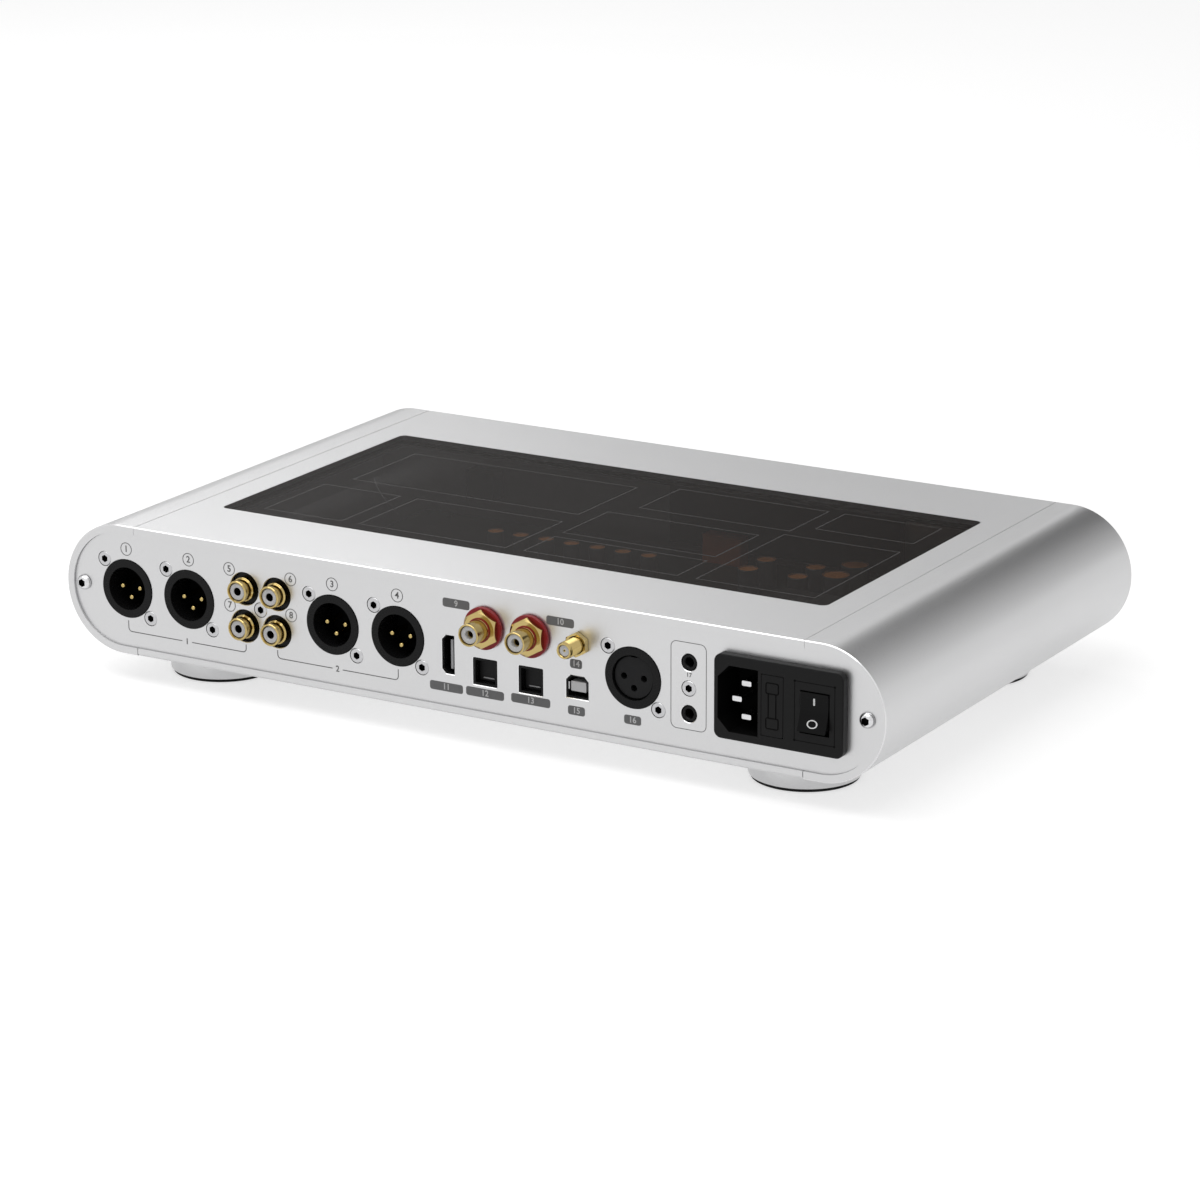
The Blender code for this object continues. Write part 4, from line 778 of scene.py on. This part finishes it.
def make_balanced():
    """Black collars on square bodies, the outputs with gilt pins and the input with a holed insert."""
    shell = tool("balanced_collar_in", -21.2, BEHIND, lambda: box(26.0, 28.0, corner=4.0))
    carve(shell, tool("collar", -4.0, 0.4, lambda: ring(24.0, steps=96)), "UNION")
    carve(shell, tool("cavity", -14.5, 2.0, lambda: ring(17.8, steps=96)))
    carve(shell, tool("keyway", -14.5, -1.2, lambda: box(2.8, 2.4, (0.0, 8.8))))
    soften(shell, 0.35, angle=60.0)
    shells = series(shell, "balanced_collar", 5, first=1)
    names = ["xlr_in_shell"] + [f"xlr_out_shell_{i}" for i in range(1, 5)]
    for piece, at, node in zip(shells, [BALANCED_IN, *BALANCED_OUT], names):
        fit(piece, REAR, at, ("socket_black",), stands_for=(node,))

    profile = [(0.0, -12.3), (8.3, -12.3), (8.65, -12.6), (8.65, -14.3), (0.0, -14.3)]
    carrier = turning("pin_carrier_1", profile, 64)
    nose = [(1.2 * math.sin(t), -3.0 + 1.2 * math.cos(t)) for t in (math.pi / 12 * i for i in range(7))]
    pin = turning("gilt_pins_1", [*nose, (1.2, -13.3), (0.0, -13.3)], 24)
    pins = [pin, another(pin, "pin"), another(pin, "pin")]
    for piece, (u, v) in zip(pins, CONTACTS):
        moved(piece, (u, v, 0.0))
    weld(pins)
    fit_row(carrier, "pin_carrier", BALANCED_OUT, ("deep_black_and_painted_shade",))
    fit_row(pin, "gilt_pins", BALANCED_OUT, ("gilt",), "xlr_out_contacts")

    profile = [(0.0, -0.7), (8.2, -0.7), (8.65, -1.1), (8.65, -14.3), (0.0, -14.3)]
    insert = turning("holed_insert", profile, 96)

    def holes():
        for at in CONTACTS:
            ring(2.7, at, 32)

    carve(insert, tool("holes", -9.7, 1.0, holes))
    carve(insert, tool("notch", -9.7, 1.0, lambda: box(2.8, 2.2, (0.0, 8.9))))
    soften(insert, 0.2, angle=60.0)
    fit(insert, REAR, BALANCED_IN, ("dark_moulding",), stands_for=("xlr_in_insert",))


def make_phono():
    """Four gilt jacks with pale insulators on a black block whose bosses fill the panel's holes."""
    def bosses():
        for u, v in PHONO:
            ring(12.9, (u - PHONO_MIDDLE[0], v - PHONO_MIDDLE[1]))

    block = tool("phono_block", -17.2, BEHIND, lambda: box(29.2, 29.2, corner=1.0))
    carve(block, tool("bosses", -4.0, -2.2, bosses), "UNION")
    fit(block, REAR, PHONO_MIDDLE, ("socket_black",), stands_for=("rca_block",))

    profile = [(3.65, -2.0), (3.65, 5.0), (3.9, 5.5), (4.3, 5.5), (4.55, 5.2), (4.55, 4.0), (4.35, 3.8),
               (4.35, 1.3), (4.5, 1.1), (4.75, 1.0), (4.9, 0.8), (4.9, -2.0), (3.65, -2.0)]
    jack = turning("phono_jack_1", profile, 64)
    profile = [(1.65, -1.9), (1.65, 4.6), (1.85, 4.9), (3.2, 4.9), (3.45, 4.65), (3.45, -1.9), (1.65, -1.9)]
    sleeve = turning("phono_sleeve_1", profile, 48)
    # Painted shade: the bore of the pale insulator takes deep black.
    paint(sleeve, 1, lambda centre, normal: math.hypot(centre.x, centre.y) < 1.7)
    fit_row(jack, "phono_jack", PHONO, ("gilt",), "rca_jack")
    fit_row(sleeve, "phono_sleeve", PHONO, ("white_moulding", "deep_black_and_painted_shade"))


def make_coax():
    """Tall gilt jacks held by a nut over a red washer."""
    barrel = [(3.75, -13.2), (3.75, 11.7), (3.9, 12.0), (4.25, 12.0), (4.45, 11.8), (4.45, 11.0),
              (4.35, 10.9), (4.35, 4.6), (4.45, 4.4), (4.45, BEHIND), (6.4, BEHIND), (6.4, -5.2),
              (4.45, -5.2), (4.45, -13.2), (3.75, -13.2)]
    jack = turning("coax_barrel_1", barrel, 64)
    profile = [(4.7, 0.2), (8.2, 0.2), (8.5, 0.5), (8.5, 1.5), (8.2, 1.8), (6.6, 1.8), (6.4, 1.95),
               (4.7, 1.95), (4.7, 0.2)]
    washer = turning("red_washer_1", profile, 72)
    nut = tool("gilt_nut_1", 2.0, 4.0, lambda: (hexagon(13.7), ring(9.4)))
    crown = turning("crown", [(0.0, 4.6), (5.9, 4.6), (7.9, 3.0), (7.9, 2.3), (7.5, 1.9), (0.0, 1.9)], 64)
    carve(nut, crown, "INTERSECT")
    soften(nut, 0.12, angle=30.0)
    profile = [(4.46, 4.02), (4.95, 4.02), (4.95, 4.4), (4.46, 4.4), (4.46, 4.02)]
    collar = turning("red_collar_1", profile, 48)
    profile = [(1.75, 2.0), (1.75, 11.0), (1.95, 11.3), (3.35, 11.3), (3.6, 11.0), (3.6, 2.0), (1.75, 2.0)]
    sleeve = turning("coax_sleeve_1", profile, 48)
    leaf = turning("coax_leaf_1", [(1.3, 3.0), (1.3, 9.4), (1.7, 9.4), (1.7, 3.0), (1.3, 3.0)], 32)
    fit_row(jack, "coax_barrel", COAX, ("gilt",), "coax_jack")
    fit_row(washer, "red_washer", COAX, ("red_moulding",), "coax_washer")
    fit_row(nut, "gilt_nut", COAX, ("gilt",), "coax_nut")
    fit_row(collar, "red_collar", COAX, ("red_moulding",))
    fit_row(sleeve, "coax_sleeve", COAX, ("white_moulding",))
    fit_row(leaf, "coax_leaf", COAX, ("gilt",))


def make_aerial():
    thread = []
    for i in range(9):
        thread += [(3.4, 9.9 - 0.8 * i), (3.15, 9.5 - 0.8 * i)]
    barrel = [(2.3, -12.0), (2.3, 10.7), (2.5, 11.0), (3.0, 11.0), (3.2, 10.6), *thread, (3.3, 2.5),
              (3.4, 2.3), (3.4, BEHIND), (5.2, BEHIND), (5.2, -5.0), (3.4, -5.0), (3.4, -12.0),
              (2.3, -12.0)]
    socket = turning("aerial_barrel", barrel, 48)
    fit(socket, REAR, AERIAL, ("gilt",), stands_for=("aerial_socket",))
    profile = [(0.62, 4.0), (0.62, 10.3), (2.0, 10.4), (2.25, 10.2), (2.25, 4.0), (0.62, 4.0)]
    core = turning("aerial_core", profile, 40)
    fit(core, REAR, AERIAL, ("white_moulding",))
    contact = turning("aerial_contact", [(0.3, 4.0), (0.3, 10.1), (0.6, 10.1), (0.6, 4.0), (0.3, 4.0)], 24)
    fit(contact, REAR, AERIAL, ("gilt",))

    nut = tool("aerial_hex", 0.2, 2.4, lambda: (hexagon(8.6), ring(7.3, steps=48)))
    crown = turning("crown", [(0.0, 2.8), (3.9, 2.8), (5.1, 1.9), (5.1, 0.1), (0.0, 0.1)], 48)
    carve(nut, crown, "INTERSECT")
    soften(nut, 0.1, angle=30.0)
    fit(nut, REAR, AERIAL, ("gilt",), stands_for=("aerial_nut",))


def make_data_sockets():
    """Steel shells behind shaped cut-outs, with a contact tongue in each."""
    def upright(width, height, corner):
        box(width, height, (0.0, 0.0), corner, 1, lambda u, v: u < 0)

    def square(width, height, corner):
        box(width, height, (0.0, 0.0), corner, 1, lambda u, v: v > 0)

    link = tool("link_shell", -14.2, BEHIND, lambda: box(7.4, 17.4, corner=0.6, steps=3))
    carve(link, tool("cavity", -12.7, 0.0, lambda: upright(5.6, 15.6, 1.9)))
    # The cavity takes deep black: painted shade on the steel walls, and the black moulding at its floor.
    paint(link, 1, lambda centre, normal: abs(centre.x) < 2.85 and abs(centre.y) < 7.85
          and centre.z > -13.0)
    fit(link, REAR, LINK, ("polished_steel", "deep_black_and_painted_shade"), stands_for=("link_socket",))
    tongue = tool("link_tongue", -13.0, -1.5, lambda: box(1.1, 11.8, (1.0, 0.0), 0.2, 2))
    fit(soften(tongue, 0.15), REAR, LINK, ("pale_moulding_and_painted_highlight",))
    lip = tool("link_lip", -3.4, -1.0, lambda: (upright(5.5, 15.5, 1.9), upright(4.8, 14.8, 1.65)))
    fit(soften(lip, 0.08), REAR, LINK, ("socket_black",))

    data = tool("data_shell", -17.7, BEHIND, lambda: box(11.7, 10.9, corner=0.6, steps=3))
    carve(data, tool("cavity", -15.7, 0.0, lambda: square(9.9, 9.1, 2.0)))
    # The cavity takes deep black: painted shade on the steel walls, and the black moulding at its floor.
    paint(data, 1, lambda centre, normal: abs(centre.x) < 5.0 and abs(centre.y) < 4.6
          and centre.z > -16.0)
    fit(data, REAR, DATA, ("polished_steel", "deep_black_and_painted_shade"), stands_for=("usb_socket",))
    tongue = tool("data_tongue", -16.0, -1.2, lambda: box(6.6, 3.9, corner=0.3, steps=3))
    fit(soften(tongue, 0.2), REAR, DATA, ("white_moulding",))
    tab = tool("data_tab", -4.0, -1.0, lambda: box(0.7, 3.0, (-4.3, 0.1), 0.2, 2))
    fit(soften(tab, 0.1), REAR, DATA, ("polished_steel",))
    lip = tool("data_lip", -3.4, -0.8, lambda: (square(9.8, 9.0, 2.0), square(8.6, 7.8, 1.6)))
    fit(soften(lip, 0.1), REAR, DATA, ("socket_black",))


def make_optical():
    """Square black sockets with a hinged shutter in each mouth."""
    socket = tool("optical_body_1", -17.2, BEHIND, lambda: box(13.0, 11.4, corner=0.4, steps=3))
    carve(socket, tool("nose", -4.0, -0.4, lambda: box(10.4, 10.4, corner=0.3, steps=3)), "UNION")
    carve(socket, tool("mouth", -15.0, 1.0, lambda: box(9.0, 9.0)))
    soften(socket, 0.12, angle=60.0)
    leaf = tool("hinged_shutter_1", -0.5, 0.5, lambda: box(8.6, 8.05, (0.0, -4.025), 0.3, 2))
    soften(leaf, 0.12)
    lip = soften(tool("lip", 0.3, 0.75, lambda: box(5.0, 0.5, (0.0, -6.8), 0.2, 2)), 0.1)
    axle = tool("axle", -4.9, 4.9, lambda: ring(1.1, steps=24))
    moved(axle, turn=Matrix.Rotation(math.pi / 2, 4, "Y"))
    weld([leaf, lip, axle])
    # Painted highlight: the lip's outer face takes the pale grey finish as a bright line along the shutter.
    paint(leaf, 1, lambda centre, normal: centre.z > 0.6)
    fit_row(socket, "optical_body", OPTICAL, ("socket_black",), "optical_socket")
    for i, (shutter, (u, v)) in enumerate(zip(series(leaf, "hinged_shutter", 2), OPTICAL), 1):
        fit(shutter, REAR, (u, v + 3.75, -3.8), ("dark_moulding", "pale_moulding_and_painted_highlight"),
            f"shutter_{i}", (f"optical_shutter_{i}",))


def make_triggers():
    profile = [(1.8, -12.3), (1.8, -0.7), (2.1, -0.3), (2.9, -0.3), (3.15, -0.55), (3.15, -3.6)]
    nose = turning("trigger_nose_1", [*profile, (3.15, -12.3), (1.8, -12.3)], 40)
    body = tool("body", -15.2, BEHIND, lambda: (box(10.0, 7.4, corner=0.4, steps=3), ring(5.4, steps=40)))
    jack = weld([nose, body])
    fit_row(jack, "trigger_nose", TRIGGER, ("socket_black",), "trigger_jack")


# Mains inlet

def make_inlet():
    """One moulding with the plug well, the drawer's slot and the rocker's well, and its blades."""
    begin("inlet_moulding")
    box(54.1, 32.9, corner=3.0, steps=8)
    slab(SEAT, FLANGE)
    ease(lambda edge: all(v.co.z > FLANGE - 0.01 for v in edge.verts) and len(edge.link_faces) == 2
         and edge.calc_face_angle() > 1.0, 0.6, 2)
    housing = close()
    carve(housing, tool("body", -18.0, 1.0, lambda: box(51.8, 27.4, (-0.4, 0.0))), "UNION")
    well, drawer, rocker = ((u - INLET[0], v - INLET[1]) for u, v in (WELL, DRAWER, ROCKER))
    carve(housing, tool("well", -13.0, 6.0, lambda: box(17.0, 25.8, well, 4.8, 1, lambda u, v: u < 0)))
    carve(housing, tool("slot", -14.7, 6.0, lambda: box(9.4, 24.0, drawer)))
    carve(housing, tool("rocker_well", -9.0, 6.0, lambda: box(12.3, 16.56, rocker)))
    soften(housing, 0.15, angle=60.0)
    # Painted shade: the walls and floor of the plug well take a deeper, duller black than the moulding.
    paint(housing, 1, lambda centre, normal: abs(centre.x - well[0]) < 8.6
          and abs(centre.y - well[1]) < 13.0 and -13.5 < centre.z < 3.8)
    fit(housing, REAR, INLET, ("black_moulding", "deep_black_and_painted_shade"),
        stands_for=("inlet_housing",))

    blades = []
    for u, v in ((-2.0, -0.6), (2.0, 5.9), (2.0, -7.1)):
        name = "blade" if blades else "inlet_blades"
        blade = tool(name, -13.6, 0.8, lambda: box(4.0, 2.0, (u, v), 0.5, 3))
        blades.append(soften(blade, 0.35))
    fit(weld(blades), REAR, WELL, ("polished_steel",))

    shells = [tool("switch_frame", FLANGE - INK, FLANGE + 0.03,
                   lambda: (box(16.9, 23.2, ROCKER), box(16.4, 22.7, ROCKER)))]
    for side in (-1, 1):
        for end in (-1, 1):
            place = (ROCKER[0] + side * 8.3, ROCKER[1] + end * 11.45)
            shells.append(tool("corner_dot", FLANGE - INK, FLANGE + 0.04, lambda: ring(0.9, place, 16)))
    fit(weld(shells), REAR, (0.0, 0.0), ("deep_black_and_painted_shade",))


def make_drawer():
    upright = Matrix.Rotation(-math.pi / 2, 4, "X")
    fuse_level = -5.25
    low, high = FLANGE - 0.1, FLANGE + 0.12
    drawer = tool("fuse_holder", -14.5, FLANGE, lambda: box(9.0, 23.6, corner=0.5, steps=4))
    trough = tool("trough", -10.25, 10.25, lambda: box(8.1, 5.5))
    carve(drawer, moved(trough, (1.05, 0.0, fuse_level), upright))
    soften(drawer, 0.2, angle=60.0)
    fit(drawer, REAR, DRAWER, ("black_moulding",), "fuse_tray", ("fuse_drawer",))

    strokes = []
    for v in (6.8, -6.8):
        name = "stroke" if strokes else "fuse_sign"
        strokes.append(tool(name, low, high, lambda: (box(5.5, 4.5, (0.0, v), 0.8, 4),
                                                      box(4.8, 3.8, (0.0, v), 0.5, 4))))
    for u in (-1.6, 1.6):
        strokes.append(tool("stroke", low, high, lambda: box(0.35, 9.2, (u, 0.0))))
    fit(weld(strokes), REAR, DRAWER, ("deep_black_and_painted_shade",), "fuse_tray")

    tube = turning("fuse_tube", [(0.0, 4.2), (2.3, 4.2), (2.3, -4.2), (0.0, -4.2)], 32)
    caps = []
    for side in (1, -1):
        profile = [(0.0, 10.0), (2.2, 10.0), (2.5, 9.7), (2.5, 4.2), (0.0, 4.2)]
        profile = [(radius, side * level) for radius, level in profile]
        caps.append(turning("cap" if caps else "fuse_caps", profile, 32))
    weld(caps)
    place = (DRAWER[0] - 0.25, DRAWER[1], fuse_level)
    fit(tube, REAR, place, ("clear_glass",), "fuse_tray", turn=upright)
    fit(caps[0], REAR, place, ("polished_steel",), "fuse_tray", ("fuse",), turn=upright)


def make_rocker():
    """Hollow-faced rocker with a bar at its upper end and a ring at its lower end."""
    half, low, rise = 7.5, 2.7, 1.3

    def hollow(v):
        return low + rise * (v / half) ** 2

    face = [(half - i * 0.75, hollow(half - i * 0.75)) for i in range(21)]
    back = [(-5.0, -1.2), (-2.4, -6.0), (2.4, -6.0), (5.0, -1.2)]
    rocker = soften(tool("rocker_cap", -5.95, 5.95, lambda: outline([*face, *back])), 0.25, angle=60.0)
    moved(rocker, turn=SIDEWAYS)
    at = (*ROCKER, 2.0)
    tilt = Matrix.Rotation(math.radians(-10.0), 4, "X")

    def on_face(piece, v):
        slope = math.atan(2 * rise * v / half ** 2)
        return moved(piece, (0.0, v, hollow(v)), Matrix.Rotation(slope, 4, "X"))

    bar = on_face(tool("on_off_marks", -0.1, 0.1, lambda: box(0.7, 2.7, corner=0.2, steps=3)), 4.1)
    oval = tool("oval", -0.1, 0.1, lambda: (ring(3.6, steps=48), ring(2.75, steps=48)))
    circle = on_face(moved(oval, turn=Matrix.Diagonal((1.22, 0.9, 1.0, 1.0))), -4.2)
    marks = weld([bar, circle])
    fit(rocker, REAR, at, ("glossy_black",), "power_rocker", ("power_rocker",),
        turn=tilt)
    fit(marks, REAR, at, ("white_ink",), "power_rocker", turn=tilt)


# Front and inside

def make_knob():
    """Turned knob with a dished face and a pointer line."""
    profile = [(0.0, 11.7), (14.7, 11.7), (15.0, 12.0), (16.2, 12.0), (17.0, 11.2), (17.0, 3.4),
               (16.7, 3.1), (16.7, 2.7), (17.0, 2.4), (17.0, 1.2), (16.8, 1.0), (3.2, 1.0), (3.2, 9.5),
               (0.0, 9.5)]
    knob = turning("turned_knob", profile, 128)
    carve(knob, tool("pointer", 11.3, 13.0, lambda: box(1.0, 6.4, (0.0, 11.0), 0.45, 4)))
    paint(knob, 1, lambda centre, normal: math.hypot(centre.x, centre.y) > 14.5 and centre.z > 11.0
          and 0.3 < normal.z < 0.95)
    paint(knob, 2, lambda centre, normal: abs(centre.x) < 0.6 and 7.0 < centre.y < 14.6
          and 11.2 < centre.z < 11.65)
    fit(knob, FRONT, KNOB, ("blasted_aluminium", "cut_aluminium", "deep_black_and_painted_shade"), "knob",
        ("volume_knob",))


def make_capacitors(name, width, height, places):
    """Row of equal round capacitors with a coloured top."""
    rim = width / 2
    profile = [(0.0, height - 0.25), (rim - 0.7, height - 0.25), (rim - 0.5, height),
               (rim - 0.25, height), (rim, height - 0.3), (rim, 1.1), (rim - 0.25, 0.9), (rim - 0.25, 0.6),
               (rim, 0.4), (rim, 0.0), (0.0, 0.0)]
    first = turning(name, profile, 40)
    paint(first, 1, lambda centre, normal: centre.z > height - 0.28 and normal.z > 0.9)
    for piece, at in zip(series(first, name, len(places)), places):
        fit(piece, STANDING, (*at, BOARD_TOP), ("capacitor_sleeve", "capacitor_top"))


def make_board():
    """Circuit board with its capacitors and chips, seen through the window."""
    def board_outline():
        box(290.0, 200.5, (0.0, 4.25), 1.5, 4)
        for x in (-130.0, 130.0):
            for y in (-91.0, 4.25, 99.5):
                ring(3.2, (x, y), 24)

    board = tool("dressed_board", BOARD_TOP - 1.6, BOARD_TOP, board_outline)
    fit(board, STANDING, (0.0, 0.0), ("circuit_board",), stands_for=("main_board",))
    small = [(4.0 + 12.5 * i, -47.0) for i in range(7)]
    medium = [(x, -58.5 + y) for x in (-41.0, -64.0) for y in (-7.75, 7.75)]
    large = [(-78.0, -66.0 + y) for y in (-8.5, 8.5)]
    make_capacitors("small_capacitor", 7.0, 11.5, small)
    make_capacitors("medium_capacitor", 8.5, 11.5, medium)
    make_capacitors("large_capacitor", 11.5, 12.5, large)

    block = tool("film_capacitor", 0.0, 12.0, lambda: box(18.5, 7.5, corner=0.8, steps=4))
    fit(soften(block, 0.4), STANDING, (-9.5, -88.0, BOARD_TOP), ("film_block",))
    chip = soften(tool("chip_1", 0.15, 1.5, lambda: box(10.0, 10.0, corner=0.3, steps=2)), 0.15, segments=1)
    legs = [chip]
    for i in range(10):
        for end in (-1, 1):
            legs.append(tool("leg", 0.0, 0.5, lambda: box(0.4, 1.6, (-4.05 + 0.9 * i, end * 5.6))))
    weld(legs)
    places = [(58.0, -12.0), (58.0, 18.0), (-22.0, 24.0), (-92.0, 6.0), (16.0, 34.0), (-55.0, -12.0)]
    for piece, at in zip(series(chip, "chip", len(places)), places):
        fit(piece, STANDING, (*at, BOARD_TOP), ("dark_moulding",))


def make_window_print():
    """Thin frames printed on the underside of the window."""
    frames = [
        ((-101.0, 18.0), (52.0, 72.0)),
        ((-32.0, 42.0), (70.0, 24.0)),
        ((-32.0, 6.0), (70.0, 36.0)),
        ((46.0, 32.0), (70.0, 44.0)),
        ((108.0, 32.0), (38.0, 44.0)),
        ((66.0, -26.0), (110.0, 48.0)),
        ((-40.0, -40.0), (70.0, 34.0)),
        ((-104.0, -44.0), (44.0, 26.0)),
    ]
    shells = []
    for at, (width, depth) in frames:
        shells.append(tool("window_print", TOP - GLASS - 2 * INK, TOP - GLASS - INK,
                           lambda: (box(width, depth, at), box(width - 1.0, depth - 1.0, at))))
    fit(weld(shells), STANDING, (0.0, 0.0), ("pale_ink",))


# Printed marks of the rear panel

def hook(left, top, low, inner):
    """Line that comes down from the top, turns and runs in."""
    corner = 1.6
    way = math.copysign(corner, inner - left)
    turns = [math.radians(18.0 * i) for i in range(6)]
    bend = [(left + way * (1 - math.cos(t)), low + corner * (1 - math.sin(t))) for t in turns]
    return [(left, top), *bend, (inner, low)]


def make_marks():
    """Rings and brackets with plain numbers, and grey labels with pale numbers."""
    rings = [(-156.7, 17.0), (-126.1, 17.0), (-57.2, 17.0), (-26.9, 17.0), (-106.25, 16.1), (-76.9, 16.1),
             (-106.3, 1.2), (-76.9, 1.3)]
    brackets = [((-156.7, -12.9), (-99.0, -14.1)), ((-83.8, -14.1), (-26.9, -13.0))]
    low = -17.4
    raised = 0.6 * INK
    dark = []
    for i, at in enumerate(rings, 1):
        dark.append(tool("panel_marks", 0.0, INK, lambda: (ring(5.5, at, 48), ring(4.9, at, 48))))
        dark.append(number(str(i), 2.7, at, raised))
    for i, ((left, left_top), (right, right_top)) in enumerate(brackets, 1):
        middle = (left + right) / 2
        dark.append(stroke(hook(left, left_top, low, middle - 2.4)))
        dark.append(stroke(hook(right, right_top, low, middle + 2.4)))
        dark.append(number(str(i), 2.5, (middle, low), raised))
    at = (102.8, 1.0)
    border = tool("border", 0.0, INK, lambda: (box(15.4, 34.4, at, 2.5, 6), box(14.9, 33.9, at, 2.25, 6)))
    dark.append(border)
    dark.append(number("17", 1.7, (103.0, 5.4), raised))
    fit(weld(dark), REAR, (0.0, 0.0), ("dark_ink",))

    labels = [((0.2, 17.7), 12.2), ((46.9, 17.6), 12.2), ((-4.7, -16.6), 15.1), ((12.9, -16.4), 17.2),
              ((33.5, -15.9), 17.5), ((53.8, 2.0), 5.3), ((53.9, -16.7), 7.5), ((78.6, -16.3), 7.4)]
    plates = []
    digits = []
    for i, (at, width) in enumerate(labels, len(rings) + 1):
        plates.append(tool("label_plates", 0.0, INK, lambda: box(width, 3.6, at, 1.0, 5)))
        digits.append(number(str(i), 2.4, at, 1.2 * INK))
    digits[0].name = "label_numbers"
    fit(weld(plates), REAR, (0.0, 0.0), ("grey_ink",))
    fit(weld(digits), REAR, (0.0, 0.0), ("pale_ink",))


def dress_plain_nodes():
    """Finishes of the solids that are shown as they are."""
    plain = {
        "bottom_plate": "blasted_aluminium",
        "supply_module": "dark_moulding",
        "display_module": "circuit_board",
        "encoder": "black_moulding",
        "encoder_shaft": "polished_steel",
        "encoder_plunger": "dark_moulding",
    }
    for name, look in plain.items():
        nodes[name].data.materials.clear()
        nodes[name].data.materials.append(FINISHES[look])


make_cheeks()
make_top()
make_panels()
make_screws()
make_feet()
make_balanced()
make_phono()
make_coax()
make_aerial()
make_data_sockets()
make_optical()
make_triggers()
make_inlet()
make_drawer()
make_rocker()
make_knob()
make_board()
make_window_print()
make_marks()
dress_plain_nodes()
